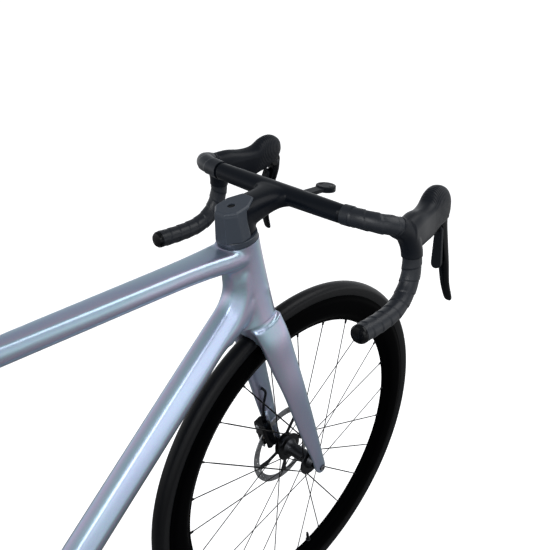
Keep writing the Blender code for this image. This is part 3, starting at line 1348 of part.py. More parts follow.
def make_rear_derailleur(pivots):
    """Hanger and knuckle, links, lower knuckle, and a cage with two pulleys."""
    outer = -(REAR_HUB_WIDTH / 2 + DROPOUT_THICKNESS) - GAP
    hanger_top = REAR_AXLE + Y * outer
    bolt = HANGER_BOLT + Y * outer
    body = strap("rear_derailleur_body", hanger_top, bolt, Y, 0.0125, 0.0115, -0.0055, 0)
    knuckle = rod("upper_knuckle", bolt, bolt - Y * 0.013, 0.0105, 12)
    lug_low, lug_high = 0.0056, 0.0110
    lug = strap("upper_lug", LINK_PIVOT, LINK_PIVOT + Vector((0.002, 0, 0.016)), LINK_AXIS,
                0.008, 0.009, lug_low, lug_high)
    neck_end = LINK_PIVOT + LINK_AXIS * (lug_low + lug_high) / 2 + Vector((0.001, 0, 0.008))
    neck = rod("neck", bolt - Y * 0.008, neck_end, 0.0078, 10, 0.0055)
    pin = rod("upper_pin", LINK_PIVOT + LINK_AXIS * 0.010, LINK_PIVOT - LINK_AXIS * 0.0058,
              0.0026, 8)
    join(body, knuckle, lug, neck, pin)
    hole = rod("hanger_hole", hanger_top + Y * 0.01, hanger_top - Y * 0.02, AXLE_RADIUS + GAP, 16)
    cut(body, hole)
    adopt(body, ALLOY)
    links = strap("derailleur_links", LINK_PIVOT, KNUCKLE_PIVOT, LINK_AXIS, 0.0070, 0.0052,
                  -0.0055, 0.0052)
    for pivot in (LINK_PIVOT, KNUCKLE_PIVOT):
        cut(links, rod("link_hole", pivot - LINK_AXIS * 0.02, pivot + LINK_AXIS * 0.02,
                       0.0026 + GAP, 8))
    hang([adopt(links, GLOSS_BLACK)], pivots["derailleur_links"])
    plate_out = CHAIN_LINE - CAGE_HALF_WIDTH - CAGE_PLATE - 0.0004
    lower = strap("derailleur_knuckle", KNUCKLE_PIVOT, KNUCKLE_PIVOT + Vector((-0.001, 0, 0.008)),
                  LINK_AXIS, 0.0078, 0.008, lug_low, lug_high)
    hub_at = Vector((CAGE_PIVOT.x, plate_out, CAGE_PIVOT.z))
    barrel = rod("cage_barrel", hub_at, hub_at - Y * 0.0065, 0.0105, 12)
    pin = rod("lower_pin", KNUCKLE_PIVOT + LINK_AXIS * 0.010, KNUCKLE_PIVOT - LINK_AXIS * 0.0058,
              0.0026, 8)
    join(lower, barrel, pin)
    hang([adopt(lower, GLOSS_BLACK)], pivots["derailleur_knuckle"])
    make_cage(pivots)


def make_cage(pivots):
    low = CAGE_HALF_WIDTH
    high = CAGE_HALF_WIDTH + CAGE_PLATE
    outer = strap("derailleur_cage", GUIDE_PULLEY, TENSION_PULLEY, -Y, 0.0105, 0.0095, low, high)
    inner = strap("inner_plate", GUIDE_PULLEY, TENSION_PULLEY, Y, 0.0095, 0.0090, low, high)
    pins = [rod("pulley_pin", p - Y * (low + 0.0005), p + Y * (low + 0.0005), PULLEY_PIN_RADIUS, 10)
            for p in (GUIDE_PULLEY, TENSION_PULLEY)]
    join(outer, inner, *pins)
    hang([adopt(outer, ALLOY)], pivots["derailleur_cage"])
    for name, centre in (("guide_pulley", GUIDE_PULLEY), ("tension_pulley", TENSION_PULLEY)):
        tip = pitch_radius(PULLEY_TEETH) + TOOTH_HEIGHT - 0.0012
        bore = PULLEY_PIN_RADIUS + GAP
        profile = [(bore, 0.0044), (0.0085, 0.0044), (0.0085, 0.0009), (tip, 0.0009)]
        profile += [(tip, -0.0009), (0.0085, -0.0009), (0.0085, -0.0044), (bore, -0.0044)]
        pulley = turned(name, profile, centre, Y, 12)
        hang([adopt(pulley, CARBON)], pivots[name])


def make_front_derailleur(pivots):
    """A fixed body on the seat tube and a cage that swings over the chainrings."""
    mount = FD_PIVOT + Vector((0.0, 0.004, 0.0165))
    body = block("front_derailleur_body", mount, (0.030, 0.0145, 0.020), 0.0, 0.003)
    tube_room = seat_tube()
    tube_room.name = "seat_tube_room"
    for corner in tube_room.data.vertices:
        corner.co.y -= GAP + 0.0001
    foot = block("derailleur_foot", mount + Vector((-0.006, 0.012, 0.002)), (0.016, 0.016, 0.014))
    pin = rod("cage_pin", FD_PIVOT - X * 0.0105, FD_PIVOT + X * 0.0105, FD_PIN_RADIUS, 8)
    lugs = [block("cage_lug", FD_PIVOT + Vector((side * 0.0093, 0, 0.0045)), (0.0034, 0.009, 0.014))
            for side in (1, -1)]
    join(body, foot, pin, *lugs)
    cut(body, tube_room)
    adopt(body, GLOSS_BLACK)
    ring_tip = pitch_radius(RING_TEETH) + TOOTH_HEIGHT
    high = ring_tip + FD_CAGE_REACH
    sweep = [math.radians(a) for a in (88, 100, 112, 124)]
    centre = BOTTOM_BRACKET
    plates = []
    for offset, low in ((0.0052, ring_tip - 0.008), (-0.0046, ring_tip + FD_TOOTH_ROOM)):
        outline = [(high * math.cos(a), high * math.sin(a)) for a in sweep]
        outline += [(low * math.cos(a), low * math.sin(a)) for a in reversed(sweep)]
        plates.append(plate("front_derailleur_cage", outline, [],
                            centre + Y * (CHAIN_LINE + offset), X, Z, FD_CAGE_THICKNESS))
    peak = centre + Vector((math.cos(sweep[1]), 0, math.sin(sweep[1]))) * (high - 0.003)
    bridge = block("cage_bridge", peak + Y * (CHAIN_LINE + 0.0003), (0.020, 0.0098, 0.003), 0.17)
    arm_end = Vector((FD_PIVOT.x, CHAIN_LINE + 0.0075, peak.z + 0.001))
    arm = strap("cage_arm", FD_PIVOT, arm_end, X, 0.0050, 0.0040, -0.007, 0.007)
    join(plates[0], plates[1], bridge, arm)
    cut(plates[0], rod("cage_bore", FD_PIVOT - X * 0.02, FD_PIVOT + X * 0.02, FD_PIN_RADIUS + GAP, 8))
    hang([adopt(plates[0], ALLOY)], pivots["front_derailleur_cage"])


# Saddle and seatpost

def post_head():
    """The middle of the seatpost's head, under the saddle rails."""
    along = SADDLE_HEIGHT - 0.060
    return seat(along, -0.004)


def make_post(pivots):
    head = post_head()
    bottom = SEAT_TUBE_LENGTH - POST_INSERTION
    top = (head - BOTTOM_BRACKET).dot(SEAT_UP) - 0.004
    rings = [ring(seat(a), Y, SEAT_FORWARD, post_outline()) for a in (bottom, top - 0.03, top)]
    body = loft("seatpost", rings)
    cradle = rod("post_head", head - Y * 0.0165, head + Y * 0.0165, POST_HEAD_RADIUS, 20)
    hang([adopt(join(body, cradle), CARBON)], pivots["seatpost"])
    adopt(rod("seatpost_wedge", *wedge_line(), WEDGE_RADIUS, 12), ALLOY)


def rail_path():
    """The saddle's one bent rail, from rear left round the nose to rear right."""
    head = post_head()
    level = head.z + POST_HEAD_RADIUS + 0.0065
    half = RAIL_SPACING / 2
    front, rear = SADDLE_FRONT, SADDLE_REAR
    route = [
        Vector((rear + 0.030, half + 0.014, level + 0.0215)),
        Vector((rear + 0.048, half + 0.006, level + 0.010)),
        Vector((rear + 0.075, half, level)), Vector((head.x, half, level)),
        Vector((front - 0.090, half, level)), Vector((front - 0.055, half - 0.006, level + 0.008)),
        Vector((front - 0.034, 0.009, level + 0.0235)),
    ]
    other = [Vector((p.x, -p.y, p.z)) for p in reversed(route)]
    return smooth_path(route + other, 2)


def saddle_shape():
    """A cover that is broad and dished at the back and slim at the nose."""
    half = SADDLE_WIDTH / 2
    stations = (
        (0.00, 0.55, 0.004, 0.012, 0.010), (0.05, 0.86, 0.006, 0.022, 0.020),
        (0.17, 1.0, 0.004, 0.030, 0.028), (0.32, 0.90, 0.000, 0.033, 0.030),
        (0.48, 0.60, -0.003, 0.034, 0.031), (0.64, 0.36, -0.004, 0.033, 0.030),
        (0.82, 0.27, -0.004, 0.030, 0.028), (0.95, 0.23, -0.006, 0.024, 0.022),
        (1.00, 0.14, -0.009, 0.014, 0.013),
    )
    rings = []
    for share, wide, rise, deep, skirt in stations:
        w = half * wide
        half_ring = [(0, -0.0015), (0.35 * w, 0), (0.72 * w, -0.004), (0.94 * w, -0.010),
                     (w, -0.45 * deep - 0.003), (0.93 * w, -skirt), (0.5 * w, -0.55 * deep),
                     (0, -0.5 * deep)]
        centre = Vector((lerp(SADDLE_REAR, SADDLE_FRONT, share), 0, SADDLE_TOP + rise))
        rings.append(ring(centre, Y, Z, mirrored(half_ring)))
    return loft("saddle", rings)


def make_saddle(pivots):
    cover = saddle_shape()
    rail_room = wire("rail_room", rail_path(), RAIL_RADIUS + GAP, 2)
    cut(cover, rail_room)
    rails = wire("saddle_rails", rail_path(), RAIL_RADIUS, 1)
    head = post_head()
    level = POST_HEAD_RADIUS + 0.0065
    clamp = block("saddle_clamp", head + Z * (level - 0.002), (0.036, RAIL_SPACING + 0.012, 0.015),
                  0.0, 0.002)
    groove = wire("rail_groove", rail_path(), RAIL_RADIUS + GAP, 2)
    room = rod("head_room", head - Y * 0.05, head + Y * 0.05, POST_HEAD_RADIUS + GAP, 20)
    cut(clamp, groove, room)
    pieces = [adopt(cover, SADDLE_SKIN), adopt(rails, STEEL), adopt(clamp, ALLOY)]
    hang(pieces, pivots["saddle"])


# Moving bodies

def hang(pieces, pivot):
    """Parents pieces to the empty on their joint's axis and leaves them where they are."""
    bpy.context.view_layer.update()
    for piece in pieces:
        place = piece.matrix_world.copy()
        piece.parent = pivot
        piece.matrix_parent_inverse = pivot.matrix_world.inverted()
        piece.matrix_world = place


def make_pivots():
    """One empty for each moving body, with the empty of the body that carries it."""
    places = {"steering": (STEER_FOOT, None), "front_wheel": (FRONT_AXLE, "steering")}
    places["rear_wheel"] = (REAR_AXLE, None)
    places["cassette"] = (REAR_AXLE, None)
    places["crank"] = (BOTTOM_BRACKET, None)
    for word, side in (("left", 1), ("right", -1)):
        places[f"brake_lever_{word}"] = (cockpit_point(LEVER_PIVOT, side), "steering")
        places[f"shift_paddle_{word}"] = (paddle_pivot(side), f"brake_lever_{word}")
        places[f"pedal_{word}"] = (BOTTOM_BRACKET - X * side * CRANK_LENGTH, "crank")
        places[f"front_pad_{word}"] = (front_caliper_place()[0], "steering")
        places[f"rear_pad_{word}"] = (rear_caliper_place()[0], None)
    places["derailleur_links"] = (LINK_PIVOT, None)
    places["derailleur_knuckle"] = (KNUCKLE_PIVOT, "derailleur_links")
    places["derailleur_cage"] = (CAGE_PIVOT, "derailleur_knuckle")
    places["guide_pulley"] = (GUIDE_PULLEY, "derailleur_cage")
    places["tension_pulley"] = (TENSION_PULLEY, "derailleur_cage")
    places["front_derailleur_cage"] = (FD_PIVOT, None)
    places["seatpost"] = (seat(SEAT_TUBE_LENGTH), None)
    places["saddle"] = (post_head(), "seatpost")
    pivots = {}
    for name, (place, carrier) in places.items():
        empty = bpy.data.objects.new(f"{name}_pivot", None)
        empty.empty_display_size = 0.02
        empty.location = place
        BIKE.objects.link(empty)
        if carrier:
            empty.parent = pivots[carrier]
            empty.location = place - places[carrier][0]
        pivots[name] = empty
    bpy.context.view_layer.update()
    return pivots


def make_bike():
    pivots = make_pivots()
    make_frame()
    bearing("headset_lower_bearing", CROWN_RACE_ALONG + GAP)
    bearing("headset_upper_bearing", HEAD_TOP - BEARING_HEIGHT - GAP)
    bb_cup("bb_cup_left", 1)
    bb_cup("bb_cup_right", -1)
    half = REAR_HUB_WIDTH / 2
    reach = half + DROPOUT_THICKNESS
    adopt(through_axle("rear_axle", REAR_AXLE, half, reach + 0.002, -reach - 0.007), ALLOY)
    make_fork(pivots)
    make_wheels(pivots)
    make_brakes(pivots)
    make_hose(pivots)
    make_cockpit(pivots)
    make_grips(pivots)
    make_levers(pivots)
    make_computer_mount(pivots)
    make_chain()
    make_cassette(pivots)
    make_cranks(pivots)
    make_rear_derailleur(pivots)
    make_front_derailleur(pivots)
    make_post(pivots)
    make_saddle(pivots)


make_bike()
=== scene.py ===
"""Dresses the road bike's CAD frame: smooth tubes, real wheels, chain, tape, levers and saddle.

Metres, +X forwards, +Y to the rider's left, +Z up. Every piece rides on the CAD body that
carries it, so the bike still steers, rolls, brakes and shifts.
"""
import json
import math

import bmesh
import bpy
from bpy.props import FloatProperty, FloatVectorProperty, IntProperty, PointerProperty
from mathutils import Matrix, Vector


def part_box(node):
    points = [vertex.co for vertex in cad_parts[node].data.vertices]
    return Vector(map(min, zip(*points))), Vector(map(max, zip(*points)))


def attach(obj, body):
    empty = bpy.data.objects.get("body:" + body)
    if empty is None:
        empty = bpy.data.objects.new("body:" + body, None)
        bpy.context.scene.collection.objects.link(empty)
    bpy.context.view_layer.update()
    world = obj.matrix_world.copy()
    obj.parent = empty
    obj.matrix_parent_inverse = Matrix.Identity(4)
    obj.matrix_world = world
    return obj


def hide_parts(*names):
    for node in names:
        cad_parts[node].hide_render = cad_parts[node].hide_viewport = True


bl_info = {
    "name": "Road Bike Look",
    "version": (1, 0, 0),
    "blender": (4, 5, 0),
    "location": "3D View > Sidebar > Road Bike",
    "description": "Builds the visible surface of a road bike around its moving frame",
    "category": "Object",
}

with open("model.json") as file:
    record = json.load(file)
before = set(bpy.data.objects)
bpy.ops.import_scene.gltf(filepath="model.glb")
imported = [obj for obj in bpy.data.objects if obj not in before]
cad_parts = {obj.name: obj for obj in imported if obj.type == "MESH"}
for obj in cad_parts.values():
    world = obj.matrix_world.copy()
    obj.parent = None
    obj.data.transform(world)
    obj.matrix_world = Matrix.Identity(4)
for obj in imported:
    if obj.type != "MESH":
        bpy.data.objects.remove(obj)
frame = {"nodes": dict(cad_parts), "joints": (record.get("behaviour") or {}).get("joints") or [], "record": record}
JOINTS = {joint["name"]: joint for joint in frame["joints"]}
BODY_OF = {
    node: body for body, nodes in frame["record"]["behaviour"]["bodies"].items() for node in nodes
}
SLOT_OF = {part["node"]: part["material_slot"] for part in frame["record"]["subparts"]}


# Places from the frame

def pivot(joint):
    """Where a joint turns."""
    return Vector(JOINTS[joint]["pos_m"])


X, Y, Z = Vector((1, 0, 0)), Vector((0, 1, 0)), Vector((0, 0, 1))
SIDES = (("left", 1), ("right", -1))
GAP = 0.0003
FRONT_AXLE = pivot("front_wheel_spin")
REAR_AXLE = pivot("rear_wheel_spin")
BOTTOM_BRACKET = pivot("crank_spin")
GUIDE_PULLEY = pivot("guide_pulley_spin")
TENSION_PULLEY = pivot("tension_pulley_spin")
HEAD_ANGLE = math.radians(73.5)
STEER_UP = Vector((-math.cos(HEAD_ANGLE), 0, math.sin(HEAD_ANGLE)))
STEER_FORWARD = Vector((STEER_UP.z, 0, -STEER_UP.x))
FORK_RAKE = 0.044
STEER_FOOT = FRONT_AXLE - STEER_FORWARD * FORK_RAKE

# Wheels
WHEEL_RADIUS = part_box("front_tyre")[1].z - FRONT_AXLE.z
TYRE_WIDTH = 0.028
RIM_OUTER = 0.3165
RIM_DEPTH = 0.050
RIM_INNER = RIM_OUTER - RIM_DEPTH
RIM_WIDTH = 0.0288
RIM_EDGE_WIDTH = 0.0256
RIM_SPINE_WIDTH = 0.011
SPOKE_COUNT = 24
SPOKE_FIRST_ANGLE = 6.6
SPOKE_CROSS_ANGLE = 66.0
VALVE_AT_SPOKE = 18.5
SPOKE_RADIUS = 0.0010
FLANGE_THICKNESS = 0.003
FRONT_FLANGE_RADIUS = 0.024
FRONT_FLANGES = (0.021, -0.034)
REAR_FLANGE_RADIUS = 0.026
REAR_FLANGES = (0.034, -0.0185)
HUB_END_INSET = 0.0045
REAR_SHELL_END = -0.0245
FRONT_ROTOR_Y = 0.0347
REAR_ROTOR_Y = 0.0557
ROTOR_RADIUS = 0.080
ROTOR_THICKNESS = 0.0018
ROTOR_BAND_INNER = 0.0665
ROTOR_MOUNT_RADIUS = 0.0165
AXLE_RADIUS = 0.006

# Frame and fork
CROWN_RACE_ALONG = 0.367
HEAD_TUBE_LENGTH = 0.144
HEAD_TOP = CROWN_RACE_ALONG + HEAD_TUBE_LENGTH
HEAD_TOP_RADIUS = 0.0312
HEAD_BOTTOM_HALF_WIDTH = 0.0305
HEAD_BOTTOM_FRONT = 0.039
HEAD_BOTTOM_REAR = 0.041
HEAD_WAIST_HALF_WIDTH = 0.0262
BEARING_RADIUS = 0.0255
STEERER_RADIUS = 0.0143
RIDGE_HALF_WIDTH = 0.0132
HEAD_BLEND_START = 0.24
HEAD_BLEND_LENGTH = 0.06
SEAT_TUBE_LENGTH = 0.530
SEAT_TUBE_HALF_WIDTH = 0.0165
TOP_TUBE_HALF_WIDTH = 0.0205
TOP_TUBE_DEPTH = 0.031
DOWN_TUBE_HALF_WIDTH = 0.028
DOWN_TUBE_DEPTH = 0.049
DOWN_TUBE_EDGE = 0.0095
DOWN_TUBE_CROWN = 0.0022
DOWN_TUBE_AT_HEAD = 0.072
DOWN_TUBE_AT_BB = 0.0356
BB_SHELL_RADIUS = 0.0262
BB_SHELL_WIDTH = 0.0865
BB_BORE_RADIUS = 0.0205
REAR_HUB_WIDTH = 0.142
FRONT_HUB_WIDTH = 0.100
DROPOUT_THICKNESS = 0.010
DROPOUT_RADIUS = 0.017
SEATSTAY_JOIN = 0.405
TYRE_CLEARANCE = 0.0055
FORK_END_THICKNESS = 0.012
CALIPER_FROM_AXLE = 0.066
WEDGE_RADIUS = 0.0062
POST_HALF_WIDTH = 0.0125
POST_HALF_DEPTH = 0.0165
HOSE_RADIUS = 0.0024

# Cockpit
WING_CENTRE = STEER_FOOT + STEER_UP * 0.5417 + STEER_FORWARD * 0.0918
BAR_WIDTH = 0.426
BAR_TUBE_RADIUS = 0.0118
TAPE_RADIUS = 0.0147
BAR_SHOULDER_RADIUS = 0.0138
SLEEVE_THICKNESS = 0.0011
TAPE_STEP = 0.0014
WING_HALF_SPAN = 0.123
WING_CHORD = 0.018
WING_THICKNESS = 0.0145
STEM_HALF_WIDTH = 0.0215
STEM_HALF_HEIGHT = 0.0185
COVER_BOTTOM = HEAD_TOP + 0.010
COVER_TOP = COVER_BOTTOM + 0.046

# Places from the wing's middle and the bar's end, half width, reach up and reach down
HOOD_STATIONS = (
    (0.0540, -0.0165, -0.0140, 0.0160, 0.0180, 0.0300),
    (0.0780, -0.0225, -0.0095, 0.0168, 0.0165, 0.0400),
    (0.1060, -0.0285, -0.0070, 0.0160, 0.0120, 0.0420),
    (0.1290, -0.0335, -0.0040, 0.0168, 0.0130, 0.0430),
    (0.1460, -0.0362, 0.0000, 0.0178, 0.0225, 0.0400),
    (0.1620, -0.0376, 0.0020, 0.0182, 0.0245, 0.0375),
    (0.1760, -0.0382, 0.0010, 0.0168, 0.0205, 0.0345),
    (0.1840, -0.0384, -0.0030, 0.0115, 0.0130, 0.0220),
)
HOOD_TILT = 0.20
HOOD_TOP_SLIMMING = 0.16

# The same places, half width and half thickness
LEVER_STATIONS = (
    (0.1825, -0.0377, -0.0200, 0.0104, 0.0074),
    (0.1830, -0.0362, -0.0380, 0.0108, 0.0074),
    (0.1830, -0.0300, -0.0640, 0.0106, 0.0066),
    (0.1850, -0.0215, -0.0980, 0.0090, 0.0056),
    (0.1905, -0.0162, -0.1330, 0.0077, 0.0048),
    (0.2020, -0.0130, -0.1600, 0.0068, 0.0042),
    (0.2070, -0.0125, -0.1665, 0.0040, 0.0028),
)
LEVER_HINGE = (0.1750, -0.0375, -0.0190)
LEVER_SLOT = 0.0116
LEVER_BARREL = 0.0104
LEVER_BARREL_RADIUS = 0.0118
LEVER_ROOM_RADIUS = 0.0127
PADDLE_PIN_RADIUS = 0.0018

# Drivetrain
CHAIN_PITCH = 0.0127
CHAIN_LINE = GUIDE_PULLEY.y
CHAIN_PLATE_THICKNESS = 0.0008
CHAIN_PLATE_ROUNDING = 0.0042
CHAIN_PLATE_WAIST = 0.0030
CHAIN_PIN_RADIUS = 0.0017
CHAIN_ROLLER_RADIUS = 0.0037
RING_TEETH = 52
SMALL_RING_TEETH = 36
CHAINRING_SPACING = 0.007
RING_BORE = 0.0495
SPROCKET_TEETH = (11, 12, 13, 14, 15, 17, 19, 21, 23, 25, 28)
CHAIN_SPROCKET = 5
SPROCKET_SPACING = 0.00374
SPROCKET_BORE = 0.0142
SPROCKET_HALF = 0.0008
PULLEY_TEETH = 12
PULLEY_BORE = 0.0029
CRANK_OUTER = 0.073

# Saddle
SEAT_UP, SEAT_FORWARD = STEER_UP, STEER_FORWARD
SADDLE_LENGTH = 0.250
SADDLE_WIDTH = 0.146
SADDLE_HEIGHT = 0.728
SADDLE_TOP = BOTTOM_BRACKET.z + SEAT_UP.z * SADDLE_HEIGHT
SADDLE_MIDDLE = BOTTOM_BRACKET.x + SEAT_UP.x * SADDLE_HEIGHT - 0.010
SADDLE_REAR = SADDLE_MIDDLE - SADDLE_LENGTH / 2
SADDLE_FRONT = SADDLE_MIDDLE + SADDLE_LENGTH / 2
RAIL_SPACING = 0.044
RAIL_RADIUS = 0.0035
POST_HEAD_RADIUS = 0.0125
POST_HEAD_HALF_WIDTH = 0.0165

# Camera, matched to the photo
CAMERA_PLACE = Vector((-0.41742, -0.7192, 1.22485))
CAMERA_YAW = 0.72424
CAMERA_PITCH = -0.42501
CAMERA_ROLL = 0.07336
CAMERA_LENS = 49.53

GRIDS = {
    "frame": (0.0019, 0.004),
    "fork": (0.0018, 0.0035),
    "cockpit": (0.0017, 0.0035),
    "hood": (0.0010, 0.0018),
    "lever": (0.0007, 0.0014),
}

# Each lamp's place, aim, size and share of the lamp power
LAMPS = {
    "key_lamp": ((1.5, -1.1, 2.7), (0.2, 0, 0.7), (2.6, 1.5), 0.6),
    "side_lamp": ((-1.2, -2.4, 2.1), (0.1, 0, 0.5), (2.6, 1.5), 0.4),
    "rear_lamp": ((-2.3, -0.3, 2.3), (0.3, 0, 0.9), (1.5, 1.5), 0.75),
}

# Colour, roughness, shine, and the depth and fineness of the grain
BLACKS = {
    "satin_black_carbon": ((0.0030, 0.0046, 0.0078), 0.32, 0.13, 0.05, 900.0),
    "dark_grey_cover": ((0.032, 0.041, 0.056), 0.38, 0.45, 0.10, 1400.0),
    "gloss_black": ((0.0010, 0.0014, 0.0024), 0.14, 0.22, 0.01, 900.0),
    "rim_black": ((0.0005, 0.0006, 0.0008), 0.24, 0.01, 0.01, 900.0),
    "brake_pad": ((0.10, 0.085, 0.07), 0.8, 0.3, 0.4, 900.0),
}

# Colour, roughness and depth of the grain
METALS = {
    "steel": ((0.50, 0.51, 0.53), 0.26, 0.12),
    "chain_steel": ((0.34, 0.34, 0.35), 0.28, 0.12),
    "dark_alloy": ((0.045, 0.047, 0.052), 0.32, 0.06),
}


def steer(along, forward=0.0):
    """A point by its distance up the steering axis and ahead of it."""
    return STEER_FOOT + STEER_UP * along + STEER_FORWARD * forward


def seat(along, forward=0.0):
    """A point by its distance up the seat tube's axis and ahead of it."""
    return BOTTOM_BRACKET + SEAT_UP * along + SEAT_FORWARD * forward


def steer_ring(along, outline):
    """An outline laid across the steering axis."""
    return ring(steer(along), Y, STEER_FORWARD, outline)


def seat_ring(along, outline):
    """An outline laid across the seat tube's axis."""
    return ring(seat(along), Y, SEAT_FORWARD, outline)


def top_tube_rear():
    """Where the top tube's upper face ends, inside the seat tube."""
    return seat(SEAT_TUBE_LENGTH - 0.006, 0.004)


def saddle_head():
    """The middle of the seatpost's head."""
    return seat(SADDLE_HEIGHT - 0.060, -0.004)


def pitch_radius(teeth):
    """The radius on which a chain's pins lie round a sprocket."""
    return CHAIN_PITCH / (2 * math.sin(math.pi / teeth))


def lerp(a, b, share):
    return a + (b - a) * share


def clamped(share):
    return min(max(share, 0), 1)


def polar(radius, angle):
    return radius * math.cos(angle), radius * math.sin(angle)


def around(count):
    """Angles evenly spaced over a full turn."""
    return [2 * math.pi * i / count for i in range(count)]


def outward(angle):
    """A direction in the bike's middle plane, by its angle above straight ahead."""
    return Vector((math.cos(angle), 0, math.sin(angle)))


def line_at(points, i):
    """The way that a path runs at one of its points."""
    return points[min(i + 1, len(points) - 1)] - points[max(i - 1, 0)]


# Settings that a user would change

class PaintLook(bpy.types.PropertyGroup):
    """Colours and gloss of the frame's pearl paint."""

    base: FloatVectorProperty(
        name="Paint", description="Middle colour of the pearl paint", subtype="COLOR",
        default=(0.44, 0.52, 0.70), min=0, max=1)
    cool: FloatVectorProperty(
        name="Cool Pearl", description="Greenish colour that the pearl shows at some angles",
        subtype="COLOR", default=(0.43, 0.60, 0.70), min=0, max=1)
    warm: FloatVectorProperty(
        name="Warm Pearl", description="Lilac colour that the pearl shows at other angles",
        subtype="COLOR", default=(0.60, 0.56, 0.74), min=0, max=1)
    drift: FloatProperty(
        name="Pearl Drift", description="How far the pearl's colours wander over the tubes",
        default=0.35, min=0, max=1, subtype="FACTOR")
    flake: FloatProperty(
        name="Flake", description="Strength of the metal flake's sparkle", default=0.35,
        min=0, max=1, subtype="FACTOR")
    roughness: FloatProperty(
        name="Paint Roughness", description="Blur of the metal layer under the clear coat",
        default=0.33, min=0, max=1, subtype="FACTOR")


class GripLook(bpy.types.PropertyGroup):
    """Sizes of the wound tape."""

    wrap: FloatProperty(
        name="Wrap Spacing", description="Distance from one edge of the wound tape to the next",
        default=0.0205, min=0.01, max=0.05, unit="LENGTH")
    edge: FloatProperty(
        name="Wrap Edge", description="Height of the step at each edge of the tape",
        default=0.0012, min=0, max=0.003, unit="LENGTH")
    band: FloatProperty(
        name="Finishing Band", description="Width of the smooth band that ends the tape",
        default=0.016, min=0.0, max=0.04, unit="LENGTH")


class WheelLook(bpy.types.PropertyGroup):
    """Fineness and fittings of the wheels."""

    steps: IntProperty(
        name="Wheel Steps", description="Pieces that a tyre and a rim are made of round the axle",
        default=180, min=36, max=360)
    nipple: FloatProperty(
        name="Nipple Length", description="How far a spoke nipple stands out of the rim",
        default=0.007, min=0, max=0.02, unit="LENGTH")
    valve: FloatProperty(
        name="Valve Length", description="How far the valve stands out of the rim",
        default=0.018, min=0, max=0.05, unit="LENGTH")


class StageLook(bpy.types.PropertyGroup):
    """The floor, the surroundings and the lamps."""

    floor: FloatProperty(
        name="Floor", description="Brightness of the floor", default=0.90, min=0, max=1,
        subtype="FACTOR")
    bounce: FloatProperty(
        name="Floor Bounce", description="Brightness of the floor where the bike reflects it",
        default=0.26, min=0, max=1, subtype="FACTOR")
    glow: FloatProperty(
        name="Floor Glow", description="Light that the floor sends to the camera by itself",
        default=0.75, min=0, max=2)
    sweep: FloatProperty(
        name="Sweep", description="Brightness of the far floor and of the white wall round it",
        default=0.85, min=0, max=3)
    fill: FloatProperty(
        name="Fill", description="Brightness of the room above, as the bike reflects it",
        default=0.34, min=0, max=3)
    key: FloatProperty(
        name="Lamp Power", description="Power that the three lamps take their shares of",
        default=40.0, min=0, max=500)


# Materials

class Graph:
    """A node tree, with short ways to add a node and to wire it."""

    def __init__(self, tree):
        self.tree = tree

    def set(self, node, values):
        for name, value in values.items():
            node.inputs[name].default_value = value

    def add(self, kind, values=None, **settings):
        node = self.tree.nodes.new(kind)
        for name, value in settings.items():
            setattr(node, name, value)
        self.set(node, values or {})
        return node

    def wire(self, source, output, target, name):
        self.tree.links.new(source.outputs[output], target.inputs[name])


class Finish(Graph):
    """A material with a shader, and textures that stay with the piece."""

    def __init__(self, name, colour, roughness, metallic=0.0, shine=0.5):
        self.material = bpy.data.materials.new(name)
        self.material.use_nodes = True
        self.material.diffuse_color = (*colour, 1)
        super().__init__(self.material.node_tree)
        self.shader = self.tree.nodes["Principled BSDF"]
        self.set(self.shader, {"Base Color": (*colour, 1), "Roughness": roughness,
                               "Metallic": metallic, "Specular IOR Level": shine})

    def place(self, scale=(1, 1, 1)):
        """Coordinates in metres that stay with the piece, stretched by a scale."""
        where = self.add("ShaderNodeTexCoord")
        change = self.add("ShaderNodeMapping", {"Scale": scale})
        self.wire(where, "Object", change, "Vector")
        return change

    def texture(self, kind, values, stretch=(1, 1, 1), **settings):
        made = self.add(f"ShaderNodeTex{kind}", values, **settings)
        self.wire(self.place(stretch), "Vector", made, "Vector")
        return made

    def noise(self, scale, detail=3.0, stretch=(1, 1, 1)):
        return self.texture("Noise", {"Scale": scale, "Detail": detail}, stretch)

    def bump(self, source, output, strength, distance, onto=None):
        """Lets a texture raise the surface, on top of an earlier bump if one is given."""
        made = self.add("ShaderNodeBump", {"Strength": strength, "Distance": distance})
        self.wire(source, output, made, "Height")
        if onto:
            self.wire(onto, "Normal", made, "Normal")
        self.wire(made, "Normal", self.shader, "Normal")
        return made

    def vary(self, source, low, high):
        """Lets the roughness wander between two values with a noise."""
        change = self.add("ShaderNodeMapRange", {"To Min": low, "To Max": min(1.0, high)})
        self.wire(source, "Fac", change, "Value")
        self.wire(change, "Result", self.shader, "Roughness")

    def blend(self, factor, output, low, high):
        """A colour between two others, chosen by a texture."""
        mix = self.add("ShaderNodeMix", data_type="RGBA")
        self.wire(factor, output, mix, "Factor")
        mix.inputs[6].default_value = (*low, 1)
        mix.inputs[7].default_value = (*high, 1)
        return mix


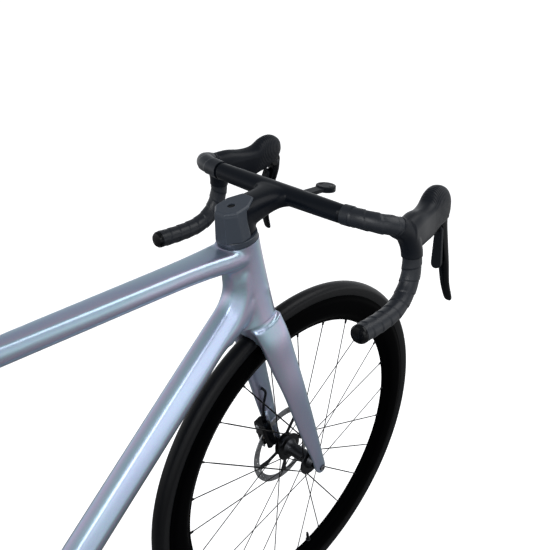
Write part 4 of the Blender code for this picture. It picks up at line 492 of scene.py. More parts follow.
def pearl_paint(look):
    """Metal flake under a clear coat, that turns from blue-green to lilac with the angle."""
    graph = Finish("silver_blue_paint", look.base, look.roughness, 0.9)
    facing = graph.add("ShaderNodeLayerWeight", {"Blend": 0.5})
    drift = graph.noise(7.0, 2.0)
    shift = graph.add("ShaderNodeMath", {1: look.drift, 2: -look.drift / 2},
                      operation="MULTIPLY_ADD")
    graph.wire(drift, "Fac", shift, 0)
    angle = graph.add("ShaderNodeMath", operation="ADD")
    graph.wire(facing, "Facing", angle, 0)
    graph.wire(shift, "Value", angle, 1)
    edge = graph.add("ShaderNodeValToRGB")
    graph.wire(angle, "Value", edge, "Fac")
    ramp = edge.color_ramp
    ramp.elements[0].color = (*look.base, 1)
    ramp.elements[1].color = (*look.base, 1)
    for place, colour in ((0.16, look.cool), (0.34, look.warm), (0.52, look.base),
                          (0.68, look.cool), (0.84, look.warm)):
        ramp.elements.new(place).color = (*colour, 1)
    flakes = graph.texture("Voronoi", {"Scale": 1500.0})
    shine = graph.add("ShaderNodeMix", data_type="RGBA", blend_type="OVERLAY")
    shine.inputs[0].default_value = look.flake * 0.30
    graph.wire(edge, "Color", shine, 6)
    graph.wire(flakes, "Color", shine, 7)
    graph.wire(shine, 2, graph.shader, "Base Color")
    graph.bump(flakes, "Distance", look.flake * 0.12, 0.0002)
    graph.set(graph.shader, {"Coat Weight": 0.45, "Coat Roughness": 0.09})
    return graph.material


def smooth_black(name, colour, roughness, shine, grain, fineness):
    """A dark finish with a faint grain, so that no large face is quite even."""
    graph = Finish(name, colour, roughness, shine=shine)
    graph.bump(graph.noise(fineness), "Fac", grain, 0.0003)
    graph.vary(graph.noise(9.0, 2.0), roughness * 0.85, roughness * 1.15)
    return graph.material


def tape_stuff():
    """Soft foam tape with fine pores."""
    graph = Finish("bar_tape", (0.0085, 0.0112, 0.0165), 0.38, shine=0.42)
    pores = graph.texture("Voronoi", {"Scale": 520.0})
    first = graph.bump(pores, "Distance", 0.14, 0.0004)
    graph.bump(graph.noise(260.0), "Fac", 0.12, 0.0006, first)
    return graph.material


def ribbed_rubber():
    """The hoods' rubber: fine ribs across the top of the horn, dull elsewhere."""
    graph = Finish("hood_rubber", (0.0042, 0.0060, 0.0098), 0.38, shine=0.20)
    ribs = graph.texture("Wave", {"Scale": 90.0}, bands_direction="X")
    split = graph.add("ShaderNodeSeparateXYZ")
    graph.wire(graph.place(), "Vector", split, "Vector")
    horn = graph.add("ShaderNodeMapRange", {"From Min": WING_CENTRE.x + 0.128,
                                            "From Max": WING_CENTRE.x + 0.138})
    graph.wire(split, "X", horn, "Value")
    raised = graph.add("ShaderNodeMath", operation="MULTIPLY")
    graph.wire(ribs, "Fac", raised, 0)
    graph.wire(horn, "Result", raised, 1)
    first = graph.bump(graph.noise(700.0), "Fac", 0.18, 0.0004)
    graph.bump(raised, "Value", 0.55, 0.0009, first)
    return graph.material


def tyre_stuff():
    """Tyre rubber with faint grooves round the tread."""
    graph = Finish("tyre_rubber", (0.0030, 0.0034, 0.0044), 0.38, shine=0.22)
    cuts = graph.texture("Wave", {"Scale": 110.0}, bands_direction="Y")
    first = graph.bump(cuts, "Fac", 0.10, 0.0004)
    graph.bump(graph.noise(480.0), "Fac", 0.16, 0.0005, first)
    return graph.material


def metal(name, colour, roughness, grain):
    """Bare metal with fine lines and an uneven shine."""
    graph = Finish(name, colour, roughness, 1.0)
    graph.bump(graph.noise(420.0, 4.0, (1, 0.08, 1)), "Fac", grain, 0.0002)
    graph.vary(graph.noise(35.0), roughness * 0.8, roughness * 1.25)
    return graph.material


def leather():
    """The saddle's skin, with a fine cell pattern."""
    graph = Finish("saddle_skin", (0.016, 0.016, 0.018), 0.5)
    graph.bump(graph.texture("Voronoi", {"Scale": 620.0}), "Distance", 0.25, 0.0004)
    return graph.material


def make_finishes(look):
    """Every material of the bike, by the name of the record's slot."""
    return {
        "silver_blue_paint": pearl_paint(look),
        "bar_tape": tape_stuff(),
        "hood_rubber": ribbed_rubber(),
        "tyre_rubber": tyre_stuff(),
        "saddle_skin": leather(),
        **{name: smooth_black(name, *values) for name, values in BLACKS.items()},
        **{name: metal(name, *values) for name, values in METALS.items()},
    }


FINISHES = {}


# Mesh building

def add_loft(bm, rings, closed=False):
    """A skin through rings of as many points each, with flat ends unless it is a loop."""
    loops = [[bm.verts.new(point) for point in points] for points in rings]
    pairs = list(zip(loops, loops[1:]))
    if closed:
        pairs.append((loops[-1], loops[0]))
    for low, high in pairs:
        for i in range(len(low)):
            j = (i + 1) % len(low)
            bm.faces.new((low[i], low[j], high[j], high[i]))
    if not closed:
        bm.faces.new(loops[0])
        bm.faces.new(loops[-1])


def ring(centre, across, up, outline):
    """Places a flat outline of (across, up) pairs at a centre."""
    return [centre + across * a + up * b for a, b in outline]


def circle(radius, count):
    return [polar(radius, angle) for angle in around(count)]


def egg(half_width, front, rear, count, power=2.0):
    """A rounded outline whose front and rear reach differ; power 2 is an ellipse."""
    points = []
    for angle in around(count):
        c, s = polar(1, angle)
        reach = front if s > 0 else rear
        points.append((half_width * math.copysign(abs(c) ** (2 / power), c),
                       reach * math.copysign(abs(s) ** (2 / power), s)))
    return points


def mirrored(half):
    """A whole outline from its half, which runs from top middle to bottom middle."""
    return half + [(-a, b) for a, b in reversed(half[1:-1])]


def rounded(outline, rounds=2):
    """Cuts every corner of a closed outline at a quarter of its sides, again and again."""
    for _ in range(rounds):
        cut_points = []
        for (a, b), (c, d) in zip(outline, outline[1:] + outline[:1]):
            cut_points.append((0.75 * a + 0.25 * c, 0.75 * b + 0.25 * d))
            cut_points.append((0.25 * a + 0.75 * c, 0.25 * b + 0.75 * d))
        outline = cut_points
    return outline


def tube_outline(half_width, depth, flat, belly, edge=0.0045, taper=0.94, crown=0.0):
    """A tube's outline with a slightly crowned top face at height 0 and a rounded underside."""
    half = [(0, crown), (0.5 * flat, 0.75 * crown), (flat, 0),
            (lerp(flat, half_width, 0.6), -edge), (half_width, -0.36 * depth),
            (taper * half_width, -0.66 * depth), (belly, -0.91 * depth),
            (0.5 * belly, -depth), (0, -depth)]
    return rounded(mirrored(half), 3)


def curve_through(values, pieces):
    """Values along a smooth curve through the given ones; they may be points or numbers."""
    route = [values[0] * 2 - values[1], *values, values[-1] * 2 - values[-2]]
    found = []
    for a, b, c, d in zip(route, route[1:], route[2:], route[3:]):
        for i in range(pieces):
            t = i / pieces
            found.append(0.5 * (2 * b + (c - a) * t + (2 * a - 5 * b + 4 * c - d) * t ** 2
                                + (3 * b - a - 3 * c + d) * t ** 3))
    found.append(values[-1] * 1.0)
    return found


def dense(rings, pieces):
    """More rings between the given ones, each point on a smooth curve through its own."""
    lines = [curve_through([points[i] for points in rings], pieces) for i in range(len(rings[0]))]
    return [list(points) for points in zip(*lines)]


def even_path(points, spacing):
    """The same path with its points a fixed distance apart."""
    lengths = [0.0]
    for a, b in zip(points, points[1:]):
        lengths.append(lengths[-1] + (b - a).length)
    count = max(2, round(lengths[-1] / spacing))
    found, k = [], 0
    for i in range(count + 1):
        goal = lengths[-1] * i / count
        while k < len(points) - 2 and lengths[k + 1] < goal:
            k += 1
        share = (goal - lengths[k]) / max(lengths[k + 1] - lengths[k], 1e-9)
        found.append(lerp(points[k], points[k + 1], min(share, 1.0)))
    return found


def frames_along(points):
    """Two cross directions at each point of a path that don't twist along it."""
    found = []
    side = None
    for i, point in enumerate(points):
        line = line_at(points, i).normalized()
        if side is None:
            side = line.orthogonal().normalized()
        side = (side - line * side.dot(line)).normalized()
        found.append((point, side, line.cross(side)))
    return found


def add_tube(bm, points, radius, sides=24):
    """A round tube along a path; the radius may be a function of place and angle."""
    rings = []
    run = 0.0
    for i, (point, side, up) in enumerate(frames_along(points)):
        run += (point - points[i - 1]).length if i else 0.0
        outline = [polar(radius(run, angle) if callable(radius) else radius, angle)
                   for angle in around(sides)]
        rings.append(ring(point, side, up, outline))
    add_loft(bm, rings)


def facing(axis):
    """A matrix that turns Z to an axis."""
    return Z.rotation_difference(axis.normalized()).to_matrix().to_4x4()


def add_turned(bm, profile, centre, axis, steps=64):
    """Turns (radius, height) pairs about an axis; a profile off the axis is a closed ring."""
    place = Matrix.Translation(centre) @ facing(axis)
    hollow = profile[0][0] > 1e-6
    corners = []
    for r, h in profile:
        if r < 1e-6:
            corners.append([bm.verts.new(place @ Vector((0, 0, h)))] * steps)
        else:
            corners.append([bm.verts.new(place @ Vector((*pair, h))) for pair in circle(r, steps)])
    rows = list(zip(corners, corners[1:]))
    if hollow:
        rows.append((corners[-1], corners[0]))
    for low, high in rows:
        for i in range(steps):
            j = (i + 1) % steps
            face = [low[i], low[j], high[j], high[i]]
            face = [v for k, v in enumerate(face) if v not in face[:k]]
            if len(face) > 2:
                bm.faces.new(face)


def add_rod(bm, start, end, radius, sides=24, end_radius=None, edge=0.0):
    """A straight round bar, with its end edges cut by a small slope."""
    length = (end - start).length
    tip = radius if end_radius is None else end_radius
    profile = [(0, 0), (radius, 0), (tip, length), (0, length)]
    if edge:
        profile = [(0, 0), (radius - edge, 0), (radius, edge), (tip, length - edge),
                   (tip - edge, length), (0, length)]
    add_turned(bm, profile, start, end - start, sides)


def add_crossbar(bm, centre, half, radius, sides=24, edge=0.0):
    """A round bar across the bike, as far to the left of a place as to the right."""
    add_rod(bm, centre - Y * half, centre + Y * half, radius, sides, edge=edge)


def add_block(bm, centre, size, turn=None, bevel=0.0):
    """A box with rounded edges, turned by a matrix."""
    made = bmesh.new()
    bmesh.ops.create_cube(made, size=1.0)
    made.transform(Matrix.Diagonal((*size, 1.0)))
    if bevel:
        bmesh.ops.bevel(made, geom=made.edges[:], offset=bevel, segments=2, affect="EDGES",
                        profile=0.7)
    made.transform(Matrix.Translation(centre) @ (turn or Matrix.Identity(4)))
    add_mesh(bm, made)


def mesh_of(bm, name):
    """Turns a bmesh into a mesh, and frees it."""
    mesh = bpy.data.meshes.new(name)
    bm.to_mesh(mesh)
    bm.free()
    return mesh


def put(name, data):
    """Adds an object to the scene."""
    item = bpy.data.objects.new(name, data)
    bpy.context.scene.collection.objects.link(item)
    return item


def add_mesh(bm, other, place=None):
    """Copies another bmesh into this one, and frees it."""
    if place is not None:
        other.transform(place)
    mesh = mesh_of(other, "part")
    bm.from_mesh(mesh)
    bpy.data.meshes.remove(mesh)


def plate(outline, holes, thickness, bevel=0.0):
    """A flat sheet with holes, midway on the XY plane, as a bmesh."""
    curve = bpy.data.curves.new("plate", "CURVE")
    curve.dimensions = "2D"
    curve.fill_mode = "BOTH"
    curve.extrude = thickness / 2 - bevel
    curve.bevel_depth = bevel
    curve.bevel_resolution = 1
    curve.offset = -bevel
    for loop in (outline, *holes):
        spline = curve.splines.new("POLY")
        spline.points.add(len(loop) - 1)
        for place, (a, b) in zip(spline.points, loop):
            place.co = (a, b, 0, 1)
        spline.use_cyclic_u = True
    item = put("plate", curve)
    graph = bpy.context.evaluated_depsgraph_get()
    mesh = bpy.data.meshes.new_from_object(item.evaluated_get(graph))
    bpy.data.objects.remove(item)
    made = bmesh.new()
    made.from_mesh(mesh)
    bpy.data.meshes.remove(mesh)
    bmesh.ops.remove_doubles(made, verts=made.verts, dist=0.000005)
    return made


def on_plane(centre, normal, turn=0.0):
    """A matrix that lays the XY plane at a centre across a normal."""
    return Matrix.Translation(centre) @ facing(normal) @ Matrix.Rotation(turn, 4, "Z")


def build(name, bm, finish, body, stands_for=(), crease=35.0):
    """Makes a bmesh a piece of the bike, with its finish, riding on its body."""
    bmesh.ops.recalc_face_normals(bm, faces=bm.faces)
    mesh = mesh_of(bm, name)
    mesh.materials.append(FINISHES[finish])
    mesh.shade_smooth()
    mesh.set_sharp_from_angle(angle=math.radians(crease))
    item = put(name, mesh)
    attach(item, body)
    if stands_for:
        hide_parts(*stands_for)
    return item


def apply_modifiers(item):
    """Bakes an object's modifiers into its mesh."""
    graph = bpy.context.evaluated_depsgraph_get()
    mesh = bpy.data.meshes.new_from_object(item.evaluated_get(graph))
    item.modifiers.clear()
    old = item.data
    item.data = mesh
    bpy.data.meshes.remove(old)


def add_softening(item, rounds, group=""):
    """Smooths a piece's surface, or only where a group of its points reaches."""
    soften = item.modifiers.new("soften", "SMOOTH")
    soften.factor = 0.5
    soften.iterations = rounds
    soften.vertex_group = group


def grid(skin):
    """The grid's size for one skin."""
    fine, coarse = GRIDS[skin]
    return fine


def fuse(item, voxel, rounds):
    """Melts overlapping closed skins into one and softens the joins between them."""
    remesh = item.modifiers.new("fuse", "REMESH")
    remesh.mode = "VOXEL"
    remesh.voxel_size = voxel
    add_softening(item, rounds)
    apply_modifiers(item)
    item.data.shade_smooth()


def cut(item, *cutters):
    """Takes each bmesh out of the piece, and stops if that leaves next to nothing of it."""
    made = []
    for bm in cutters:
        bmesh.ops.recalc_face_normals(bm, faces=bm.faces)
        cutter = put("cutter", mesh_of(bm, "cutter"))
        made.append(cutter)
        change = item.modifiers.new("cut", "BOOLEAN")
        change.operation = "DIFFERENCE"
        change.object = cutter
    apply_modifiers(item)
    for cutter in made:
        bpy.data.objects.remove(cutter)
    if len(item.data.polygons) < 100:
        raise RuntimeError(f"{item.name} was lost in a cut")
    item.data.shade_smooth()
    item.data.set_sharp_from_angle(angle=math.radians(40))


def shape(adder, *values, **named):
    """A bmesh that one adder has filled."""
    bm = bmesh.new()
    adder(bm, *values, **named)
    return bm


def softened(node, voxel, rounds):
    """Stands for a CAD node: its own solid with soft edges."""
    bm = bmesh.new()
    bm.from_mesh(frame["nodes"][node].data)
    bmesh.ops.remove_doubles(bm, verts=bm.verts, dist=0.00001)
    item = build(f"{node}_soft", bm, SLOT_OF[node], BODY_OF[node], (node,))
    fuse(item, voxel, rounds)
    return item


def repaint(*nodes):
    """Gives CAD nodes that stay in view the finish of their slot."""
    for node in nodes:
        item = frame["nodes"][node]
        item.data.materials.clear()
        item.data.materials.append(FINISHES[SLOT_OF[node]])


def add_bolt(bm, place, axis, radius, height, socket=0.5):
    """A round bolt head with a six-sided socket sunk in it."""
    edge = 0.18 * radius
    add_turned(bm, [(0, 0), (radius, 0), (radius, height - edge), (radius - edge, height),
                    (radius * 0.62, height), (0, height)],
               place, axis, 32)
    add_turned(bm, [(0, height + 0.00002), (radius * socket, height + 0.00002),
                    (radius * socket * 0.9, height - 0.0004), (0, height - 0.0004)],
               place, axis, 6)


# Frame

def head_outline(along):
    """Round at the top ring, waisted below it, fuller at the crown, with a wedge behind."""
    share = clamped((along - CROWN_RACE_ALONG) / HEAD_TUBE_LENGTH)
    waist = math.sin(math.pi * share)
    width = lerp(HEAD_BOTTOM_HALF_WIDTH, HEAD_TOP_RADIUS, share)
    width = lerp(width, HEAD_WAIST_HALF_WIDTH, waist ** 0.8)
    front = lerp(HEAD_BOTTOM_FRONT, HEAD_TOP_RADIUS, share) + 0.0015 * waist
    rear = lerp(HEAD_BOTTOM_REAR, HEAD_TOP_RADIUS, share ** 0.8)
    wedge = min(1.0, 1.6 * waist) if share < 0.5 else waist ** 1.5
    edge = Vector((width - RIDGE_HALF_WIDTH, rear - 0.008))
    points = []
    for a, b in egg(width, front, rear, 96, 2.15):
        reach = math.hypot(a, b)
        if b < 0:
            flat = edge.y * abs(a) - edge.x * b
            faces = (rear * reach / -b,
                     (edge.y * RIDGE_HALF_WIDTH + edge.x * rear) * reach / flat,
                     width * reach / max(abs(a), 1e-6))
            scale = lerp(1, min(faces) / reach, wedge)
            a, b = a * scale, b * scale
        points.append((a, b))
    return points


def add_head_tube(bm):
    """The head tube, a little too long at both ends, which are cut square later."""
    rings = []
    for i in range(-2, 27):
        along = CROWN_RACE_ALONG + HEAD_TUBE_LENGTH * i / 24
        rings.append(steer_ring(along, head_outline(along)))
    add_loft(bm, rings)


def add_top_tube(bm):
    """A flat-topped tube that widens into the head tube's top ring."""
    rear, front = top_tube_rear(), steer(HEAD_TOP - 0.0012, -HEAD_TOP_RADIUS)
    up = (front - rear).normalized().cross(Y)
    rings = []
    for share, wide, deep in ((0, 0.70, 1), (0.12, 0.74, 1), (0.5, 0.92, 1), (0.80, 1.05, 1),
                              (0.90, 1.15, 1.03), (0.96, 1.28, 1.08), (1.0, 1.40, 1.12),
                              (1.05, 1.42, 1.15)):
        width = TOP_TUBE_HALF_WIDTH * wide
        outline = tube_outline(width, TOP_TUBE_DEPTH * deep, width - 0.0045, 0.6 * width,
                               crown=0.0012)
        rings.append(ring(lerp(rear, front, share), Y, up, outline))
    add_loft(bm, dense(rings, 8))


def down_tube_line():
    """The middle line of the down tube's top face, from bottom bracket to head tube."""
    head_end = steer(CROWN_RACE_ALONG + DOWN_TUBE_AT_HEAD, -0.0075)
    toward = head_end - BOTTOM_BRACKET
    tilt = math.atan2(toward.z, toward.x) - math.asin(DOWN_TUBE_AT_BB / toward.length)
    up = outward(tilt).cross(Y)
    return BOTTOM_BRACKET + up * DOWN_TUBE_AT_BB, head_end, up


def add_down_tube(bm):
    """A deep tube with a narrow flat top and sloping sides, fuller below near the head tube."""
    rear, front, up = down_tube_line()
    slim, full = (0.80, 0.42), (0.97, 0.84)
    stations = ((0, 1, 1.12, 0, slim), (0.10, 1, 1.08, 0, slim), (0.35, 1, 1.02, 0, slim),
                (0.68, 1, 1, 0, slim), (0.82, 0.98, 0.94, 0, slim),
                (0.885, 0.96, 0.90, 0, full), (0.93, 0.94, 1.0, 0, full),
                (1.02, 0.92, 1.05, -0.003, full))
    rings = []
    for share, wide, deep, lift, (taper, belly) in stations:
        width = DOWN_TUBE_HALF_WIDTH * wide
        outline = tube_outline(width, DOWN_TUBE_DEPTH * deep, RIDGE_HALF_WIDTH, belly * width,
                               DOWN_TUBE_EDGE, taper, DOWN_TUBE_CROWN)
        rings.append(ring(lerp(rear, front, share) + up * lift, Y, up, outline))
    add_loft(bm, dense(rings, 8))


def add_seat_tube(bm):
    stations = ((-0.004, 1.5), (0.05, 1.25), (0.11, 1), (0.3, 1), (SEAT_TUBE_LENGTH, 1))
    rings = [seat_ring(along, egg(SEAT_TUBE_HALF_WIDTH * wide, 0.021, 0.0205, 64, 2.4))
             for along, wide in stations]
    add_loft(bm, dense(rings, 6))


def add_stay(bm, side, stations):
    """A tapering stay through stations of (place, half width, half height)."""
    rings = []
    places = [station[0] for station in stations]
    for i, (place, width, height) in enumerate(stations):
        line = line_at(places, i).normalized()
        across = line.cross(Z).normalized() * -1
        up = across.cross(line)
        centre = Vector((place.x, place.y * side, place.z))
        rings.append(ring(centre, Vector((across.x, across.y * side, across.z)), up,
                          egg(width, height, height, 40, 2.3)))
    add_loft(bm, dense(rings, 8))


def stay_stations():
    """Chainstay and seatstay routes on the left side, clear of the tyre and the rotor."""
    out = REAR_HUB_WIDTH / 2 + DROPOUT_THICKNESS / 2
    tyre_side = TYRE_WIDTH / 2 + TYRE_CLEARANCE
    bb, axle = BOTTOM_BRACKET, REAR_AXLE
    chainstay = [
        (lerp(bb, axle, 0.02) + Y * 0.020, 0.013, 0.020),
        (lerp(bb, axle, 0.20) + Y * (tyre_side + 0.0085) - Z * 0.004, 0.0088, 0.017),
        (lerp(bb, axle, 0.42) + Y * (tyre_side + 0.020) - Z * 0.004, 0.0088, 0.0135),
        (lerp(bb, axle, 0.72) + Y * (out - 0.0135), 0.0085, 0.0115),
        (lerp(bb, axle, 0.93) + Y * (out - 0.0004), 0.0050, 0.0115),
        (axle + Y * out, 0.0045, 0.012),
    ]
    join = seat(SEATSTAY_JOIN)
    drop = axle - join
    seatstay = [
        (join + X * 0.004 + Y * 0.007 + Z * 0.006, 0.0085, 0.013),
        (join + drop * 0.12 + Y * (tyre_side - 0.001) + X * 0.002, 0.0075, 0.011),
        (join + drop * 0.28 + Y * (tyre_side + 0.0095), 0.0065, 0.0095),
        (join + drop * 0.66 + Y * (out - 0.019), 0.006, 0.0085),
        (join + drop * 0.93 + Y * (out - 0.0002), 0.0047, 0.009),
        (axle + Y * out, 0.0045, 0.009),
    ]
    return chainstay, seatstay


def add_boss(bm, place, turn, carrier_y):
    """The flat pad under a caliper, on the stay or leg that carries it."""
    away = Vector((math.sin(turn), 0, math.cos(turn)))
    centre = place - away * 0.0163
    inner = place.y + 0.0055
    centre.y = (inner + carrier_y) / 2
    add_block(bm, centre, (0.066, carrier_y - inner, 0.010), Matrix.Rotation(turn, 4, "Y"), 0.002)


def rear_caliper_place():
    """Above the left chainstay, over the rotor's edge, and how far the caliper leans."""
    line = (BOTTOM_BRACKET - REAR_AXLE).normalized()
    up = line.cross(Y)
    place = REAR_AXLE + line * CALIPER_FROM_AXLE + up * 0.028
    return Vector((place.x, REAR_ROTOR_Y, place.z)), math.atan2(up.x, up.z)


def add_web(bm, corner, along, toward, radius, half_width, depth):
    """Rounds out the corner between two tubes, with the section of the lower one."""
    half_angle = along.angle(toward) / 2
    middle = (along + toward).normalized()
    sideways = (toward - along).normalized()
    centre = corner + middle * (radius / math.sin(half_angle))
    swing = math.pi / 2 - half_angle
    outline = tube_outline(half_width, depth, RIDGE_HALF_WIDTH, 0.84 * half_width,
                           DOWN_TUBE_EDGE, 0.97, DOWN_TUBE_CROWN)
    ways = [(-middle * math.cos(swing * share) + sideways * math.sin(swing * share))
            for share in (-1, -0.75, -0.5, -0.25, 0, 0.25, 0.5, 0.75, 1)]
    first, last = ways[0], ways[-1]
    rings = [ring(centre + first * radius + along * 0.012 + first * 0.004, Y, -first, outline)]
    rings += [ring(centre + way * radius, Y, -way, outline) for way in ways]
    rings.append(ring(centre + last * radius + toward * 0.03 + last * 0.004, Y, -last, outline))
    add_loft(bm, rings)


def post_outline(spare, count):
    reach = POST_HALF_DEPTH + spare
    return egg(POST_HALF_WIDTH + spare, reach, reach, count, 2.3)


def post_hole():
    return shape(add_loft, [seat_ring(along, post_outline(GAP, 48))
                            for along in (SEAT_TUBE_LENGTH - 0.16, SEAT_TUBE_LENGTH + 0.01)])


def wedge_line(over=0.0, under=0.0):
    """The seatpost wedge's middle line, just ahead of the post."""
    forward = POST_HALF_DEPTH + WEDGE_RADIUS + 2 * GAP + 0.0004
    top = SEAT_TUBE_LENGTH - 0.003
    return seat(top - 0.020 + under, forward), seat(top + over, forward)


def head_bore():
    """The head tube's inside, with a pocket for a bearing at each end."""
    low, high, pocket, seat_radius = CROWN_RACE_ALONG, HEAD_TOP, 0.0076, BEARING_RADIUS + GAP
    profile = [(0, high + 0.004), (seat_radius, high + 0.004), (seat_radius, high - pocket),
               (STEERER_RADIUS + 0.003, high - pocket), (0.021, low + pocket),
               (seat_radius, low + pocket), (seat_radius, low - 0.004), (0, low - 0.004)]
    return shape(add_turned, profile, STEER_FOOT, STEER_UP, 64)


def crossing(point_a, line_a, point_b, line_b):
    """Where two lines in the bike's middle plane meet."""
    apart = point_b - point_a
    scale = (apart.x * line_b.z - apart.z * line_b.x) / (line_a.x * line_b.z - line_a.z * line_b.x)
    return point_a + line_a * scale


def add_head_webs(bm):
    """Rounds out the corners behind the head tube, above the down tube and below the top tube."""
    rear, front, _ = down_tube_line()
    down = (rear - front).normalized()
    back = steer(CROWN_RACE_ALONG + 0.07, -0.0340)
    corner = crossing(back, STEER_UP, front, down)
    add_web(bm, corner, STEER_UP, down, 0.050, HEAD_WAIST_HALF_WIDTH, 0.040)
    top_front = steer(HEAD_TOP, -HEAD_TOP_RADIUS)
    line = (top_tube_rear() - top_front).normalized()
    under = top_front + line.cross(Y) * (TOP_TUBE_DEPTH * 1.02)
    corner = crossing(back, STEER_UP, under, line)
    add_web(bm, corner, line, -STEER_UP, 0.018, 0.0195, 0.020)


def make_frame_skin():
    """All tubes melted into one skin, then bored for what goes through them."""
    bm = bmesh.new()
    add_head_tube(bm)
    add_top_tube(bm)
    add_down_tube(bm)
    add_seat_tube(bm)
    add_crossbar(bm, BOTTOM_BRACKET, BB_SHELL_WIDTH / 2, BB_SHELL_RADIUS, 64)
    chainstay, seatstay = stay_stations()
    for side in (1, -1):
        add_stay(bm, side, chainstay)
        add_stay(bm, side, seatstay)
        inner = side * REAR_HUB_WIDTH / 2
        add_rod(bm, REAR_AXLE + Y * inner, REAR_AXLE + Y * (inner + side * DROPOUT_THICKNESS),
                DROPOUT_RADIUS, 48)
    place, turn = rear_caliper_place()
    add_boss(bm, place, turn, chainstay[-3][0].y)
    add_head_webs(bm)
    skin = build("frame_skin", bm, "silver_blue_paint", "frame", ("frame",))
    fuse(skin, grid("frame"), 7)
    soften_head(skin)
    cut(
        skin, shape(add_rod, steer(HEAD_TOP), steer(HEAD_TOP + 0.03), 0.034, 64),
        head_bore(), post_hole(),
        shape(add_rod, *wedge_line(0.010, -0.001), WEDGE_RADIUS + GAP),
        shape(add_crossbar, BOTTOM_BRACKET, 0.09, BB_BORE_RADIUS, 48),
        shape(add_crossbar, REAR_AXLE, 0.1, AXLE_RADIUS + GAP, 32),
        shape(add_rod, steer(CROWN_RACE_ALONG - 0.06), steer(CROWN_RACE_ALONG), 0.060, 64),
    )


def soften_head(skin):
    """Gives the joins round the head tube a larger fillet than the rest of the frame."""
    group = skin.vertex_groups.new(name="head")
    for vertex in skin.data.vertices:
        weight = clamped((vertex.co.x - HEAD_BLEND_START) / HEAD_BLEND_LENGTH)
        if weight:
            group.add([vertex.index], weight, "REPLACE")
    add_softening(skin, 26, group.name)
    apply_modifiers(skin)


def make_bottle_bolts():
    """Two bolts on the down tube and two on the seat tube, for bottle cages."""
    rear, front, up = down_tube_line()
    bm = bmesh.new()
    for share in (0.40, 0.51):
        add_bolt(bm, lerp(rear, front, share) - up * 0.0004, up, 0.0045, 0.0022)
    for along in (0.19, 0.254):
        add_bolt(bm, seat(along, 0.0204), SEAT_FORWARD, 0.0045, 0.0022)
    build("bottle_bolts", bm, "steel", "frame")


# Fork

def leg_line(side):
    """A fork leg's middle line: straight from the crown to the axle, seen from the side."""
    crown = steer(CROWN_RACE_ALONG - 0.009, 0.006)
    end_y = FRONT_HUB_WIDTH / 2 + FORK_END_THICKNESS / 2
    tyre_side = TYRE_WIDTH / 2 + TYRE_CLEARANCE
    stations = (
        (0.0, tyre_side + 0.003, 0.030, 0.013), (0.10, tyre_side + 0.0128, 0.0285, 0.0125),
        (0.24, tyre_side + 0.018, 0.0262, 0.0112), (0.42, tyre_side + 0.0255, 0.0225, 0.0096),
        (0.70, end_y - 0.0055, 0.0185, 0.0074), (0.90, end_y - 0.0005, 0.0135, 0.006),
        (1.0, end_y, 0.0125, 0.006), (1.035, end_y, 0.008, 0.006),
    )
    line = FRONT_AXLE - crown
    ahead = Y.cross(line).normalized() * -1
    return [(crown + line * share + Y * side * out, ahead, chord, thick)
            for share, out, chord, thick in stations]


def front_caliper_place():
    """Behind the left fork leg, over the rotor's edge, and how far the caliper leans."""
    crown, ahead, _, _ = leg_line(1)[0]
    line = (FRONT_AXLE - Vector((crown.x, 0, crown.z))).normalized()
    place = FRONT_AXLE - line * CALIPER_FROM_AXLE - ahead * 0.0295
    return Vector((place.x, FRONT_ROTOR_Y, place.z)), math.atan2(-ahead.x, -ahead.z)


def hose_exit():
    """Where the front hose leaves the left leg's inner side."""
    return FRONT_AXLE + Vector((-0.0685, 0.0385, 0.150))


def add_crown(bm, top):
    """The fork's crown, from inside the head tube's lower end down over the tyre."""
    stations = ((0.008, 1, 1, 0.64), (0, 1, 1, 0.64), (-0.010, 1.06, 1.0, 0.64),
                (-0.024, 1.14, 0.98, 0.62), (-0.040, 1.14, 0.88, 0.58))
    rings = []
    for rise, wide, front, rear in stations:
        outline = egg(HEAD_BOTTOM_HALF_WIDTH * wide, HEAD_BOTTOM_FRONT * front,
                      HEAD_BOTTOM_REAR * rear, 80, 2.15)
        rings.append(steer_ring(top + rise, outline))
    add_loft(bm, dense(rings, 6))


def wheel_room():
    """The space that the front wheel needs between the legs and under the crown."""
    reach, half = WHEEL_RADIUS + TYRE_CLEARANCE + 0.001, TYRE_WIDTH / 2 + TYRE_CLEARANCE
    profile = [(0, half), (reach - 0.010, half), (reach - 0.003, half - 0.003),
               (reach, half - 0.010), (reach, 0.010 - half), (reach - 0.003, 0.003 - half),
               (reach - 0.010, -half), (0, -half)]
    return shape(add_turned, profile, FRONT_AXLE, Y, 180)


def make_fork_skin():
    """Crown and legs melted into one skin, and the steerer above them."""
    top = CROWN_RACE_ALONG - GAP
    bm = shape(add_crown, top)
    for side in (1, -1):
        rings = [ring(centre, Y, ahead, egg(thick, chord, chord, 48, 2.3))
                 for centre, ahead, chord, thick in leg_line(side)]
        add_loft(bm, dense(rings, 8))
    place, turn = front_caliper_place()
    add_boss(bm, place, turn, FRONT_HUB_WIDTH / 2)
    skin = build("fork_skin", bm, "silver_blue_paint", "steering", ("fork",))
    fuse(skin, grid("fork"), 3)
    cut(skin, wheel_room())
    fuse(skin, grid("fork"), 3)
    hole = hose_exit()
    cut(skin, shape(add_crossbar, FRONT_AXLE, 0.1, AXLE_RADIUS + GAP, 32),
        shape(add_rod, hole - Y * 0.014, hole + Y * 0.006, 0.0032, 16),
        shape(add_rod, steer(top), steer(top + 0.03), 0.06, 64))
    profile = [(0, COVER_TOP - 0.016), (STEERER_RADIUS, COVER_TOP - 0.016),
               (STEERER_RADIUS, HEAD_TOP - 0.03), (0.019, CROWN_RACE_ALONG + 0.024),
               (0.019, CROWN_RACE_ALONG - 0.006), (0, CROWN_RACE_ALONG - 0.006)]
    build("steerer", shape(add_turned, profile, STEER_FOOT, STEER_UP, 48), "satin_black_carbon",
          "steering")


# Cockpit

